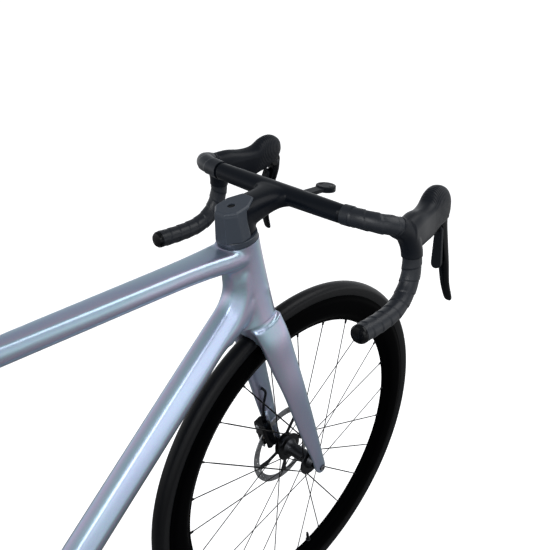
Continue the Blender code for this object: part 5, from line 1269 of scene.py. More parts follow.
def cockpit_point(offset, side):
    """A point by its place from the wing's middle and from the bar's outer width."""
    dx, dy, dz = offset
    return WING_CENTRE + Vector((dx, side * (BAR_WIDTH / 2 + dy), dz))


def bar_route(side):
    """The middle line of one side of the bar, from the wing's end round to the plug."""
    offsets = (
        (0.002, WING_HALF_SPAN - BAR_WIDTH / 2, 0.0005), (0.006, -0.058, 0.0010),
        (0.017, -0.034, -0.0005), (0.037, -0.022, -0.0055), (0.057, -0.017, -0.0190),
        (0.0695, -0.013, -0.0430), (0.0725, -0.010, -0.0700), (0.0665, -0.0075, -0.0950),
        (0.0500, -0.005, -0.1150), (0.0260, -0.0025, -0.1265), (-0.010, -0.001, -0.1315),
        (-0.051, 0.0, -0.1330),
    )
    return [cockpit_point(offset, side) for offset in offsets]


def add_wing(bm):
    """The bar's flat middle part, which turns round towards its ends."""
    rings = []
    for i in range(41):
        share = -1 + i / 20
        size = abs(share) ** 1.5
        chord = lerp(WING_CHORD, BAR_SHOULDER_RADIUS, size)
        thick = lerp(WING_THICKNESS, BAR_SHOULDER_RADIUS, size)
        centre = WING_CENTRE + Vector((0.002 * abs(share), share * WING_HALF_SPAN, 0))
        rings.append(ring(centre, X, Z, egg(chord, thick, thick, 64)))
    add_loft(bm, rings)


def add_stem(bm):
    """The stem, which spreads into the wing, and the clamp round the steerer under it."""
    low = steer((COVER_BOTTOM + COVER_TOP) / 2 + 0.002) + STEER_FORWARD * 0.006
    line = WING_CENTRE - low
    up = line.normalized().cross(Y)
    rings = []
    for share, wide, high in ((0.0, 1.15, 1.2), (0.25, 1.12, 1.12), (0.55, 1.12, 0.97),
                              (0.78, 1.35, 0.87), (0.95, 2.1, 0.77), (1.08, 1.9, 0.5)):
        height = STEM_HALF_HEIGHT * high
        rings.append(ring(low + line * share, Y, up,
                          egg(STEM_HALF_WIDTH * wide, height, height, 64, 2.6)))
    add_loft(bm, dense(rings, 8))
    clamp = ((COVER_BOTTOM + 0.0005, 0.0262, 0.0295), (COVER_BOTTOM + 0.012, 0.0258, 0.0310),
             (COVER_BOTTOM + 0.028, 0.0250, 0.0360), (COVER_TOP - 0.006, 0.0225, 0.0380))
    add_loft(bm, dense([steer_ring(along, egg(wide, front, 0.022, 64, 2.4))
                        for along, wide, front in clamp], 6))


def make_cockpit_skin():
    """The one-piece bar and stem, with its bar ends running on inside the tape."""
    bm = shape(add_wing)
    add_stem(bm)
    for side in (1, -1):
        add_tube(bm, even_path(curve_through(bar_route(side), 8), 0.004), BAR_TUBE_RADIUS, 24)
    skin = build("cockpit_skin", bm, "satin_black_carbon", "steering", ("cockpit",))
    fuse(skin, grid("cockpit"), 6)
    bottom, top = COVER_BOTTOM - 0.01, COVER_TOP + 0.01
    cut(skin, shape(add_rod, steer(bottom), steer(top), STEERER_RADIUS + GAP, 48), cover_room())


def cover_outline(spare, front, nose, shoulder, rear, half_width, chamfer):
    """An eight-sided outline with a narrower nose that runs on over the stem."""
    half = [(0, front), (nose, front), (half_width, shoulder), (half_width, -rear + chamfer),
            (half_width - chamfer, -rear), (0, -rear)]
    return mirrored([(a + spare if a else 0, b + math.copysign(spare, b)) for a, b in half])


def cover_room():
    """The space that the stem cover takes in the stem."""
    plate_at = COVER_TOP - 0.0045
    foot = (0.0120, 0.0200, 0.0010, 0.0310, 0.0285, 0.017)
    lid = (0.0345, 0.0105, 0.0130, 0.0235, 0.0222, 0.012)
    sizes = ((COVER_BOTTOM - 0.004, *foot), (COVER_BOTTOM + GAP, *foot),
             (lerp(COVER_BOTTOM, COVER_TOP, 0.5), 0.0135, 0.0180, 0.0030, 0.0275, 0.0255, 0.015),
             (plate_at - 0.0018, 0.0150, 0.0165, 0.0060, 0.0245, 0.0232, 0.013),
             (plate_at - GAP, 0.0340, 0.0110, 0.0130, 0.0240, 0.0228, 0.013),
             (COVER_TOP - 0.0025, *lid), (COVER_TOP + 0.004, *lid))
    return shape(add_loft, [steer_ring(along, cover_outline(GAP, *row)) for along, *row in sizes])


def make_cover():
    """The faceted stem cover, the steerer bolt in its hole and the ring below it."""
    softened("stem_cover", 0.0007, 3)
    bolt = softened("steerer_bolt", 0.0005, 1)
    # Painted shade: the steerer bolt gets gloss black instead of its steel slot, so that the bolt deep in its hole
    # reads as a dark, shaded hole.
    bolt.data.materials[0] = FINISHES["gloss_black"]
    inner, outer, edge = STEERER_RADIUS + GAP, HEAD_TOP_RADIUS - 0.0004, 0.0008
    low, high = HEAD_TOP + GAP, COVER_BOTTOM - GAP
    profile = [(outer - edge, high), (outer, high - edge), (outer, low + edge),
               (outer - edge, low), (inner, low), (inner, high)]
    build("headset_ring", shape(add_turned, profile, STEER_FOOT, STEER_UP, 96),
          "dark_grey_cover", "steering", ("headset_cover",))


def make_tape(look):
    """Tape wound in a slanting overlap, a smooth band at its inner end, a plug at its outer."""
    for word, side in SIDES:
        route = bar_route(side)
        route[0] = lerp(route[0], route[1], 0.06)
        path = even_path(curve_through(route, 16), TAPE_STEP)

        def wound(run, angle, side=side):
            turn = (run / look.wrap + side * angle / (2 * math.pi)) % 1.0
            lip = min(1.0, (1 - turn) / 0.07)
            return TAPE_RADIUS - look.edge + look.edge * (0.2 + 0.8 * turn) * lip

        build(f"tape_wound_{word}", shape(add_tube, path, wound, 64), "bar_tape", "steering",
              (f"bar_tape_{word}",), 60)
        last = max(3, round(look.band / TAPE_STEP))
        build(f"tape_band_{word}", shape(add_tube, path[:last], TAPE_RADIUS + 0.0002, 64),
              "bar_tape", "steering")
        edge = TAPE_RADIUS - 0.0008
        profile = [(0, 0.0075), (0.0070, 0.0073), (0.0115, 0.0062), (edge - 0.0008, 0.0040),
                   (edge, 0.0026), (edge, GAP), (0, GAP)]
        bm = shape(add_turned, profile, path[-1], (path[-1] - path[-3]).normalized(), 64)
        build(f"bar_plug_{word}_turned", bm, "gloss_black", "steering", (f"bar_plug_{word}",))


def make_hoods():
    """Rubber hoods over the lever bodies, clear of the tape and of the levers' swing."""
    for word, side in SIDES:
        places = [cockpit_point(row[:3], side) for row in HOOD_STATIONS]
        rings = []
        for i, (*_, width, up_reach, down_reach) in enumerate(HOOD_STATIONS):
            line = line_at(places, i)
            line.z *= 0.4
            line.normalize()
            across = Matrix.Rotation(side * HOOD_TILT, 3, line) @ Z.cross(line).normalized()
            outline = [(a * (1 - HOOD_TOP_SLIMMING * max(b, 0) / up_reach), b)
                       for a, b in egg(width, up_reach, down_reach, 56, 2.5)]
            rings.append(ring(places[i], across, line.cross(across), outline))
        bm = shape(add_loft, dense(rings, 6))
        path = even_path(curve_through(bar_route(side)[3:7], 12), 0.003)
        add_tube(bm, path[:-5], TAPE_RADIUS + SLEEVE_THICKNESS, 48)
        skin = build(f"hood_skin_{word}", bm, "hood_rubber", "steering", (f"hood_{word}",))
        fuse(skin, grid("hood"), 9)
        hinge = cockpit_point(LEVER_HINGE, side)
        room = shape(add_block, hinge + Vector((0.008, 0, -0.020)),
                     (0.0405, 2 * LEVER_SLOT, 0.040), None, 0.003)
        cut(skin, shape(add_crossbar, hinge, LEVER_SLOT, LEVER_ROOM_RADIUS, 40), room)
        fuse(skin, grid("hood") * 0.9, 2)


def make_levers():
    """Brake levers with their hinge barrels and bolts, and the shift paddles behind them."""
    for word, side in SIDES:
        places = [cockpit_point(row[:3], side) for row in LEVER_STATIONS]
        rings = []
        for i, (*_, width, thick) in enumerate(LEVER_STATIONS):
            line = line_at(places, i).normalized()
            ahead = Y.cross(line).normalized()
            rings.append(ring(places[i], line.cross(ahead), ahead,
                              egg(width, thick, thick, 40, 2.4)))
        bm = shape(add_loft, dense(rings, 8))
        hinge = cockpit_point(LEVER_HINGE, side)
        add_crossbar(bm, hinge, LEVER_BARREL, LEVER_BARREL_RADIUS, 48, 0.0012)
        paddle_hinge = pivot(f"shift_paddle_{word}")
        add_rod(bm, paddle_hinge - X * 0.0052, paddle_hinge + X * 0.010, PADDLE_PIN_RADIUS, 16)
        blade = build(f"lever_blade_{word}", bm, "gloss_black", f"brake_lever_{word}",
                      (f"brake_lever_{word}",))
        fuse(blade, grid("lever"), 4)
        softened(f"shift_paddle_{word}", 0.0006, 3)
        bm = bmesh.new()
        cheek = HOOD_STATIONS[5][3] - 0.0006
        for way in (1, -1):
            add_bolt(bm, hinge + Vector((-0.004, way * cheek, 0)), Y * way, 0.0030, 0.0012)
        build(f"lever_bolts_{word}", bm, "dark_alloy", "steering")


def make_mount():
    """The computer mount, with the two tabs that hold a computer."""
    softened("computer_mount", 0.0006, 3)
    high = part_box("computer_mount")[1]
    centre = Vector((high.x - 0.0165, 0, high.z))
    bm = shape(add_turned, [(0.0135, 0.0008), (0.0135, 0.0), (0.0115, 0.0), (0.0115, 0.0008)],
               centre - Z * 0.0006, Z, 64)
    for side in (1, -1):
        add_block(bm, centre + Y * side * 0.0102, (0.0075, 0.0032, 0.0012), None, 0.0004)
    build("mount_tabs", bm, "gloss_black", "steering")


# Wheels

def tyre_profile():
    """From one bead over the tread to the other; the ring closes inside the rim."""
    half = TYRE_WIDTH / 2
    middle = RIM_OUTER + GAP + 0.45 * TYRE_WIDTH
    crown = WHEEL_RADIUS - middle
    bead = [(RIM_OUTER + GAP, 0.80 * half), (RIM_OUTER + 0.003, 0.84 * half)]
    points = [(r, -h) for r, h in bead]
    for i in range(25):
        angle = math.pi * (i / 24) - math.pi / 2
        points.append((middle + crown * max(0.0, math.cos(angle)) ** 0.96, half * math.sin(angle)))
    return points + bead[::-1]


def rim_profile():
    """Bulged below the tyre, then straight sides down to a rounded spine."""
    edge, side, spine = RIM_EDGE_WIDTH / 2, RIM_WIDTH / 2, 0.4 * RIM_SPINE_WIDTH
    half = [Vector((RIM_OUTER - 0.0006, edge)), Vector((RIM_OUTER - 0.004, edge + 0.0004)),
            Vector((RIM_OUTER - 0.26 * RIM_DEPTH, side)),
            Vector((RIM_OUTER - 0.66 * RIM_DEPTH, 0.83 * side)),
            Vector((RIM_INNER + 0.007, 1.5 * spine)), Vector((RIM_INNER + 0.0012, 0.9 * spine)),
            Vector((RIM_INNER, 0))]
    half = [tuple(p) for p in curve_through(half, 5)]
    outer = [(RIM_OUTER, edge - 0.0008)]
    whole = outer + half + [(r, -h) for r, h in reversed(half[:-1])] + [(RIM_OUTER, 0.0008 - edge)]
    return list(reversed(whole))


def spoke_angle(number):
    """The angle of a spoke at the rim, or of a place between two spokes."""
    return math.radians(SPOKE_FIRST_ANGLE + 360 * number / SPOKE_COUNT)


def spoke_roots(flange_radius, left, right):
    """Each spoke's angle at the rim, its root on the flange and the way that it leans."""
    for i in range(SPOKE_COUNT):
        angle, way = spoke_angle(i), 1 if (i // 2) % 2 else -1
        root = outward(angle + way * math.radians(SPOKE_CROSS_ANGLE)) * flange_radius
        yield angle, root + Y * (left if i % 2 else right), way


def add_spokes(bm, axle, flange_radius, left, right):
    """Bladed spokes, crossed twice, leading and trailing on each flange in turn."""
    for angle, root, way in spoke_roots(flange_radius, left, right):
        aside = way * (FLANGE_THICKNESS / 2 - 0.00055) * math.copysign(1, root.y)
        start = axle + root + Y * aside
        end = axle + outward(angle) * (RIM_INNER + 0.001)
        line = (end - start).normalized()
        blade = line.cross(Y).normalized()
        flat = line.cross(blade).normalized()
        rings = []
        length = (end - start).length
        for run, wide, thick in ((0, 1, 1), (0.018, 1, 0.9), (0.030, 1.3, 0.6),
                                 (length - 0.030, 1.3, 0.6), (length - 0.018, 1, 0.9),
                                 (length, 1, 0.9)):
            width, depth = SPOKE_RADIUS * wide, SPOKE_RADIUS * thick
            rings.append(ring(start + line * run, blade, flat, egg(width, depth, depth, 10)))
        add_loft(bm, rings)


def add_nipples(bm, axle, flange_radius, left, right, length):
    """A slim nut on every spoke where it goes into the rim."""
    for angle, root, _ in spoke_roots(flange_radius, left, right):
        end = axle + outward(angle) * (RIM_INNER + 0.002)
        line = (axle + root - end).normalized()
        add_rod(bm, end, end + line * (0.002 + length), 0.0024, 12, 0.0017)


def add_hub(bm, axle, flange_radius, left, right, left_end, right_end, rotor_y):
    """A hub shell with scooped flanges, a rotor seat and end caps."""
    reach, half, edge = flange_radius + 0.004, FLANGE_THICKNESS / 2, 0.0006

    def flange(y):
        return [(reach - edge, y + half), (reach, y + half - edge), (reach, y - half + edge),
                (reach - edge, y - half)]

    profile = [
        (0.0064, left_end), (0.0102, left_end), (0.011, left_end - 0.0008),
        (0.011, rotor_y + 0.003), (ROTOR_MOUNT_RADIUS, rotor_y + 0.003),
        (ROTOR_MOUNT_RADIUS, rotor_y - 0.003), (0.0185, rotor_y - 0.0035),
        (0.019, left + half), *flange(left), (flange_radius * 0.74, left - half - 0.0008),
        (0.0137, left - 0.007), (0.0125, left - 0.013), (0.0125, right + 0.013),
        (0.0137, right + 0.007), (flange_radius * 0.74, right + half + 0.0008), *flange(right),
        (0.016, right - half), (0.0125, right_end), (0.0064, right_end),
    ]
    add_turned(bm, profile, axle, Y, 72)


def rotor_slots():
    """Slanting slots in two rows round the rotor's band."""
    slots = []
    for i, middle in enumerate(around(40)):
        radius = (0.0745, 0.0710)[i % 2]
        slot = []
        for turn in around(10):
            along, out = 0.0030 * math.cos(turn), 0.0013 * math.sin(turn)
            slot.append(polar(radius + out * 0.8 + 0.35 * along,
                              middle + (along + 0.5 * out) / radius))
        slots.append(slot)
    return slots


def make_rotor(name, axle, y, body, stands_for):
    """A brake disc: a slotted steel band, carried by a dark spider on its lock ring."""
    centre, bore = axle + Y * y, ROTOR_MOUNT_RADIUS + GAP
    band = plate(circle(ROTOR_RADIUS, 160), [circle(ROTOR_BAND_INNER, 120), *rotor_slots()],
                 ROTOR_THICKNESS)
    build(f"{name}_band", shape(add_mesh, band, on_plane(centre, Y)), "steel", body,
          (stands_for,))
    inner, outer = 0.024, ROTOR_BAND_INNER + 0.0010
    arm = ((-0.50, inner), (-0.16, inner), (0.04, 0.045), (0.12, outer), (0.34, outer),
           (0.23, 0.045), (0.20, inner))
    arms = [polar(reach, middle + offset) for middle in around(5) for offset, reach in arm]
    bm = shape(add_mesh, plate(arms, [circle(bore, 60)], ROTOR_THICKNESS * 0.8),
               on_plane(centre, Y))
    add_turned(bm, [(0.0215, 0.0022), (0.0215, 0.0009), (bore, 0.0009), (0.0130, 0.0012),
                    (0.0130, 0.0034), (0.0190, 0.0034)], centre, Y, 72)
    for angle in around(20):
        add_block(bm, centre + outward(angle) * 0.0125 + Y * 0.0022, (0.0016, 0.0020, 0.0011),
                  Matrix.Rotation(-angle, 4, "Y"))
    build(f"{name}_spider", bm, "dark_alloy", body)


def make_wheel(word, axle, look, flange_radius, flanges, ends, rotor_y):
    """One wheel with its tyre, rim, spokes, hub, disc and valve."""
    body = f"{word}_wheel"
    bm = shape(add_turned, tyre_profile(), axle, Y, look.steps)
    build(f"{word}_tyre_turned", bm, "tyre_rubber", body, (f"{word}_tyre",))
    bm = shape(add_turned, rim_profile(), axle, Y, look.steps)
    build(f"{word}_rim_turned", bm, "rim_black", body, (f"{word}_rim",))
    bm = shape(add_hub, axle, flange_radius, *flanges, *ends, rotor_y)
    build(f"{word}_hub_turned", bm, "dark_alloy", body, (f"{word}_hub_and_spokes",))
    bm = shape(add_spokes, axle, flange_radius, *flanges)
    add_nipples(bm, axle, flange_radius, *flanges, look.nipple)
    build(f"{word}_spokes", bm, "gloss_black", body)
    out = outward(spoke_angle(VALVE_AT_SPOKE))
    start = axle + out * (RIM_INNER + 0.002)
    tip = start - out * (look.valve + 0.002)
    bm = shape(add_rod, start, tip, 0.0030, 20)
    add_rod(bm, start - out * 0.0025, start - out * 0.0055, 0.0052, 24, edge=0.0006)
    add_rod(bm, tip, tip - out * 0.006, 0.0022, 16, edge=0.0004)
    build(f"{word}_valve", bm, "dark_alloy", body)
    make_rotor(f"{word}_disc", axle, rotor_y, body, f"{word}_rotor")


def make_wheels(look):
    """Both wheels, and the two axles with their sockets on the right."""
    end = FRONT_HUB_WIDTH / 2 - HUB_END_INSET
    make_wheel("front", FRONT_AXLE, look, FRONT_FLANGE_RADIUS, FRONT_FLANGES, (end, -end),
               FRONT_ROTOR_Y)
    end = REAR_HUB_WIDTH / 2 - HUB_END_INSET
    make_wheel("rear", REAR_AXLE, look, REAR_FLANGE_RADIUS, REAR_FLANGES,
               (end, REAR_SHELL_END), REAR_ROTOR_Y)
    socket = [(0.0030, 0.0003), (0.0058, 0.0003), (0.0058, 0.0), (0.0030, 0.0)]
    for node in ("front_axle", "rear_axle"):
        low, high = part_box(node)
        softened(node, 0.0007, 2)
        place = Vector(((low.x + high.x) / 2, low.y, (low.z + high.z) / 2))
        build(f"{node}_socket", shape(add_turned, socket, place, -Y, 6), "steel", BODY_OF[node])


# Brakes

def make_calipers():
    """Both calipers with their bolts, covers and pads."""
    for end, (place, turn), body in (("front", front_caliper_place(), "steering"),
                                     ("rear", rear_caliper_place(), "frame")):
        softened(f"{end}_caliper", 0.0008, 4)
        lean = Matrix.Rotation(turn, 4, "Y")
        bm = bmesh.new()
        for shift in (-0.027, 0.027):
            at = place + lean @ Vector((shift, 0.0040, 0.0105))
            add_bolt(bm, at, lean @ Z, 0.0042, 0.0022)
        at = place + lean @ Vector((0.0, 0.0164, 0.0))
        add_turned(bm, [(0, 0.0006), (0.0092, 0.0006), (0.0098, 0.0), (0, 0.0)], at, Y, 40)
        build(f"{end}_caliper_bolts", bm, "steel", body)
        for word in ("left", "right"):
            softened(f"{end}_pad_{word}", 0.0005, 1)


def make_hose():
    """The front hose, from the left fork leg to its nut on the caliper."""
    start, end = hose_exit(), front_caliper_place()[0] + Vector((-0.010, 0, 0.0385))
    route = [start + Y * 0.003, start - Y * 0.004, start + Vector((0.001, -0.0085, -0.006)),
             lerp(start, end, 0.55), end]
    route[-2].y = end.y
    build("brake_hose", shape(add_tube, curve_through(route, 12), HOSE_RADIUS, 24),
          "satin_black_carbon", "steering", ("front_brake_hose",))
    way = (route[-2] - end).normalized()
    bm = shape(add_rod, end - way * 0.004, end + way * 0.011, 0.0036, 24, 0.0030, 0.0005)
    add_rod(bm, end - way * 0.004, end + way * 0.002, 0.0045, 6)
    build("hose_nut", bm, "gloss_black", "steering")


# Drivetrain

def gear_outline(teeth, tip_width=0.26):
    """A sprocket's toothed edge: round seats for the rollers and slim tips between."""
    radius = pitch_radius(teeth)
    tooth = ((-0.36, -0.0024), (-0.18, -0.0039), (0.0, -0.0043), (0.18, -0.0039),
             (0.36, -0.0024), (0.5 - tip_width / 2, 0.0022), (0.5, 0.0028),
             (0.5 + tip_width / 2, 0.0022))
    points = [(2 * math.pi * (i + offset) / teeth, radius + reach)
              for i in range(teeth) for offset, reach in tooth]
    return [polar(reach, angle) for angle, reach in sorted(points)]


def slots_round(count, inner, outer, width, lean=0.0):
    """Rounded windows in a ring between two radii."""
    windows = []
    for middle in around(count):
        loop = [polar(outer, middle + lean + width * (j / 4 - 1)) for j in range(9)]
        loop += [polar(inner, middle - lean - width * (j / 4 - 1)) for j in range(9)]
        windows.append(rounded(loop, 1))
    return windows


def make_rings():
    """Toothed chainrings, the large one with windows, and the bolts that hold them."""
    large_windows = slots_round(8, 0.0700, 0.0915, 0.24, 0.05)
    small_y = CHAIN_LINE + CHAINRING_SPACING
    for name, teeth, y, windows in (("chainring_large", RING_TEETH, CHAIN_LINE, large_windows),
                                    ("chainring_small", SMALL_RING_TEETH, small_y, [])):
        sheet = plate(gear_outline(teeth), [circle(RING_BORE, 120), *windows], 0.0018, 0.0002)
        bm = shape(add_mesh, sheet, on_plane(BOTTOM_BRACKET + Y * y, -Y))
        build(f"{name}_toothed", bm, "dark_alloy", "crank", (name,), 25)
    bm = bmesh.new()
    for i in range(4):
        out = outward(math.radians(45 + 90 * i))
        place = BOTTOM_BRACKET + out * 0.0555 + Y * (CHAIN_LINE - 0.0012)
        add_bolt(bm, place, -Y, 0.0052, 0.0022, 0.55)
    build("ring_bolts", bm, "steel", "crank")


def make_cassette():
    """Eleven sprockets, the spacers between them and the lock ring on the outside."""
    bm = bmesh.new()
    first = CHAIN_LINE - CHAIN_SPROCKET * SPROCKET_SPACING
    spacer = [(0.0190, SPROCKET_HALF - SPROCKET_SPACING), (0.0190, -SPROCKET_HALF),
              (SPROCKET_BORE, -SPROCKET_HALF), (SPROCKET_BORE, SPROCKET_HALF - SPROCKET_SPACING)]
    for i, teeth in enumerate(SPROCKET_TEETH):
        place = REAR_AXLE + Y * (first + i * SPROCKET_SPACING)
        holes = [circle(SPROCKET_BORE, 40)]
        if teeth > 18:
            holes += slots_round(7, 0.0225, pitch_radius(teeth) - 0.010, 0.26)
        add_mesh(bm, plate(gear_outline(teeth), holes, 2 * SPROCKET_HALF),
                 on_plane(place, -Y, 0.17 * i))
        if i:
            add_turned(bm, spacer, place, Y, 40)
    face = first - SPROCKET_HALF
    add_turned(bm, [(SPROCKET_BORE, face), (SPROCKET_BORE, face - 0.0015),
                    (0.0165, face - 0.0015), (0.0172, face - 0.0006), (0.0172, face)],
               REAR_AXLE, Y, 48)
    build("cassette_toothed", bm, "steel", "cassette", ("cassette",), 25)


def make_pulleys():
    """The derailleur's two small toothed wheels."""
    for word, centre in (("guide", GUIDE_PULLEY), ("tension", TENSION_PULLEY)):
        holes = [circle(PULLEY_BORE, 24)] + slots_round(6, 0.0098, 0.0162, 0.30)
        outline = [(0.985 * a, 0.985 * b) for a, b in gear_outline(PULLEY_TEETH, 0.2)]
        bm = shape(add_mesh, plate(outline, holes, 0.0020, 0.0002), on_plane(centre, Y))
        add_turned(bm, [(0.0080, 0.0040), (0.0080, -0.0040), (PULLEY_BORE, -0.0040),
                        (PULLEY_BORE, 0.0040)], centre, Y, 40)
        build(f"{word}_pulley_toothed", bm, "satin_black_carbon", f"{word}_pulley",
              (f"{word}_pulley",), 25)


def tangent(a, b):
    """The angle at which a belt leaves one (centre, radius, way) wheel for the next."""
    (pa, ra, wa), (pb, rb, wb) = a, b
    gap = pb - pa
    return math.atan2(gap.z, gap.x) - math.acos((wa * ra - wb * rb) / math.hypot(gap.x, gap.z))


def chain_path():
    """A closed line of close points round the ring, the sprocket and the pulleys."""
    wheels = [
        (BOTTOM_BRACKET + Y * CHAIN_LINE, pitch_radius(RING_TEETH), 1),
        (REAR_AXLE + Y * CHAIN_LINE, pitch_radius(SPROCKET_TEETH[CHAIN_SPROCKET]), 1),
        (GUIDE_PULLEY, pitch_radius(PULLEY_TEETH), -1),
        (TENSION_PULLEY, pitch_radius(PULLEY_TEETH), 1),
    ]
    normals = [tangent(wheels[i], wheels[(i + 1) % 4]) for i in range(4)]
    path = []
    for i, (centre, radius, way) in enumerate(wheels):
        start, end = normals[i - 1], normals[i]
        turn = (end - start) % (2 * math.pi)
        if way < 0:
            turn -= 2 * math.pi
        pieces = max(8, round(abs(turn) / math.radians(3)))
        for j in range(pieces + 1):
            path.append(centre + outward(start + turn * j / pieces) * radius * way)
    return path + [path[0]]


def link_plate(length):
    """A chain plate's outline: two round ends and a narrower waist."""
    half = length / 2
    points = []
    for way in (1, -1):
        for i in range(9):
            a, b = polar(CHAIN_PLATE_ROUNDING, math.pi * (i / 8 - 0.5) * 0.86)
            points.append((way * (half + a), way * b))
        points.append((0, way * CHAIN_PLATE_WAIST))
    return points


def make_chain():
    """Outer and inner links in turn, with rollers and pins."""
    path = chain_path()
    loop = sum((b - a).length for a, b in zip(path, path[1:]))
    count = 2 * round(loop / CHAIN_PITCH / 2)
    joints = even_path(path, loop / count)[:-1]
    bm = bmesh.new()
    for i in range(len(joints)):
        start, end = joints[i], joints[(i + 1) % len(joints)]
        line = (end - start).normalized()
        turn = Matrix((line, -line.cross(Y), Y)).transposed().to_4x4()
        y = 0.0023 if i % 2 else 0.0014
        for side in (1, -1):
            sheet = plate(link_plate((end - start).length), [], CHAIN_PLATE_THICKNESS)
            add_mesh(bm, sheet, Matrix.Translation((start + end) / 2 + Y * side * y) @ turn)
        add_crossbar(bm, start, 0.0029, CHAIN_PIN_RADIUS, 10)
        add_crossbar(bm, start, 0.0010, CHAIN_ROLLER_RADIUS, 14)
    build("chain_links", bm, "chain_steel", "frame", ("chain",), 30)


def make_cranks():
    """Crank arms, the bolts that clamp them, and pedals with their plates and springs."""
    cap = [(0, 0.0016), (0.0085, 0.0014), (0.0108, 0.0006), (0.0112, 0), (0, 0)]
    for word, side in SIDES:
        softened(f"crank_arm_{word}", 0.0011, 4)
        face = BOTTOM_BRACKET + Y * side * (CRANK_OUTER - 0.0032)
        build(f"crank_cap_{word}", shape(add_turned, cap, face, Y * side, 48), "gloss_black",
              "crank")
        softened(f"pedal_{word}", 0.0009, 4)
        low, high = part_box(f"pedal_{word}")
        middle = (low + high) / 2
        bm = shape(add_block, Vector((middle.x - 0.004, middle.y, high.z - 0.0004)),
                   (0.026, 0.030, 0.0012), None, 0.0004)
        add_crossbar(bm, Vector((low.x + 0.0065, middle.y, middle.z + 0.004)), 0.012, 0.0036)
        build(f"pedal_plate_{word}", bm, "steel", f"pedal_{word}")


def make_derailleurs():
    """Both derailleurs' bodies, links and cages, and the pulleys' bolts."""
    for node, voxel in (("rear_derailleur_body", 0.0007), ("derailleur_links", 0.0006),
                        ("derailleur_knuckle", 0.0006), ("derailleur_cage", 0.0005),
                        ("front_derailleur_body", 0.0007), ("front_derailleur_cage", 0.0005)):
        softened(node, voxel, 3 if voxel > 0.0005 else 1)
    bm = bmesh.new()
    outer = CHAIN_LINE - 0.0062
    for centre in (GUIDE_PULLEY, TENSION_PULLEY):
        add_bolt(bm, Vector((centre.x, outer, centre.z)), -Y, 0.0042, 0.0014)
    build("pulley_bolts", bm, "steel", "derailleur_cage")


# Saddle and seatpost

def rail_path(pieces):
    """The saddle's one bent rail, from rear left round the nose to rear right."""
    head = saddle_head()
    level = head.z + 0.019
    half = RAIL_SPACING / 2
    places = (
        (SADDLE_REAR + 0.030, half + 0.014, level + 0.0215),
        (SADDLE_REAR + 0.048, half + 0.006, level + 0.010), (SADDLE_REAR + 0.075, half, level),
        (head.x, half, level), (SADDLE_FRONT - 0.090, half, level),
        (SADDLE_FRONT - 0.055, half - 0.006, level + 0.008),
        (SADDLE_FRONT - 0.034, 0.009, level + 0.0235),
    )
    route = [Vector(place) for place in places]
    route += [Vector((x, -y, z)) for x, y, z in reversed(places)]
    return curve_through(route, pieces)


def add_saddle(bm):
    """A cover that is broad and dished at the back, with a channel down its middle."""
    stations = (
        (0.00, 0.55, 0.004, 0.012, 0.010), (0.05, 0.86, 0.006, 0.022, 0.020),
        (0.17, 1.0, 0.004, 0.030, 0.028), (0.32, 0.90, 0.000, 0.033, 0.030),
        (0.48, 0.60, -0.003, 0.034, 0.031), (0.64, 0.36, -0.004, 0.033, 0.030),
        (0.82, 0.27, -0.004, 0.030, 0.028), (0.95, 0.23, -0.006, 0.024, 0.022),
        (1.00, 0.14, -0.009, 0.014, 0.013),
    )
    rings = []
    for share, wide, rise, deep, skirt in stations:
        w = SADDLE_WIDTH / 2 * wide
        channel = 0.0045 * math.sin(math.pi * clamped((share - 0.1) / 0.75))
        half_ring = [(0, -0.0015 - channel), (0.12 * w + 0.002, -0.001 - 0.6 * channel),
                     (0.30 * w + 0.002, 0.0002), (0.52 * w, -0.001), (0.72 * w, -0.004),
                     (0.94 * w, -0.010), (w, -0.45 * deep - 0.003), (0.93 * w, -skirt),
                     (0.5 * w, -0.55 * deep), (0, -0.5 * deep)]
        place = Vector((lerp(SADDLE_REAR, SADDLE_FRONT, share), 0, SADDLE_TOP + rise))
        rings.append(ring(place, Y, Z, rounded(mirrored(half_ring))))
    add_loft(bm, dense(rings, 8))


def make_saddle():
    """The saddle on its rail, the post that carries it, and the wedge that holds the post."""
    cover = build("saddle_cover", shape(add_saddle), "saddle_skin", "saddle", ("saddle",))
    cut(cover, shape(add_tube, rail_path(4), RAIL_RADIUS + GAP, 16))
    build("saddle_rail", shape(add_tube, rail_path(8), RAIL_RADIUS, 24), "steel", "saddle",
          ("saddle_rails",))
    softened("saddle_clamp", 0.0007, 3)
    head = saddle_head()
    bm = bmesh.new()
    for side in (1, -1):
        add_bolt(bm, head + Vector((side * 0.012, 0, 0.0245)), Z, 0.0038, 0.0024)
    build("saddle_bolts", bm, "steel", "saddle")
    top = (head - BOTTOM_BRACKET).dot(SEAT_UP) - 0.004
    bm = shape(add_loft, [seat_ring(along, post_outline(0, 64))
                          for along in (SEAT_TUBE_LENGTH - 0.120, top - 0.03, top)])
    add_crossbar(bm, head, POST_HEAD_HALF_WIDTH, POST_HEAD_RADIUS, 48, 0.0006)
    build("seatpost_skin", bm, "satin_black_carbon", "seatpost", ("seatpost",))
    softened("seatpost_wedge", 0.0006, 1)
    bm = shape(add_bolt, wedge_line()[1] - SEAT_UP * 0.001, SEAT_UP, 0.0034, 0.0016)
    build("wedge_bolt", bm, "steel", "frame")


# Stage

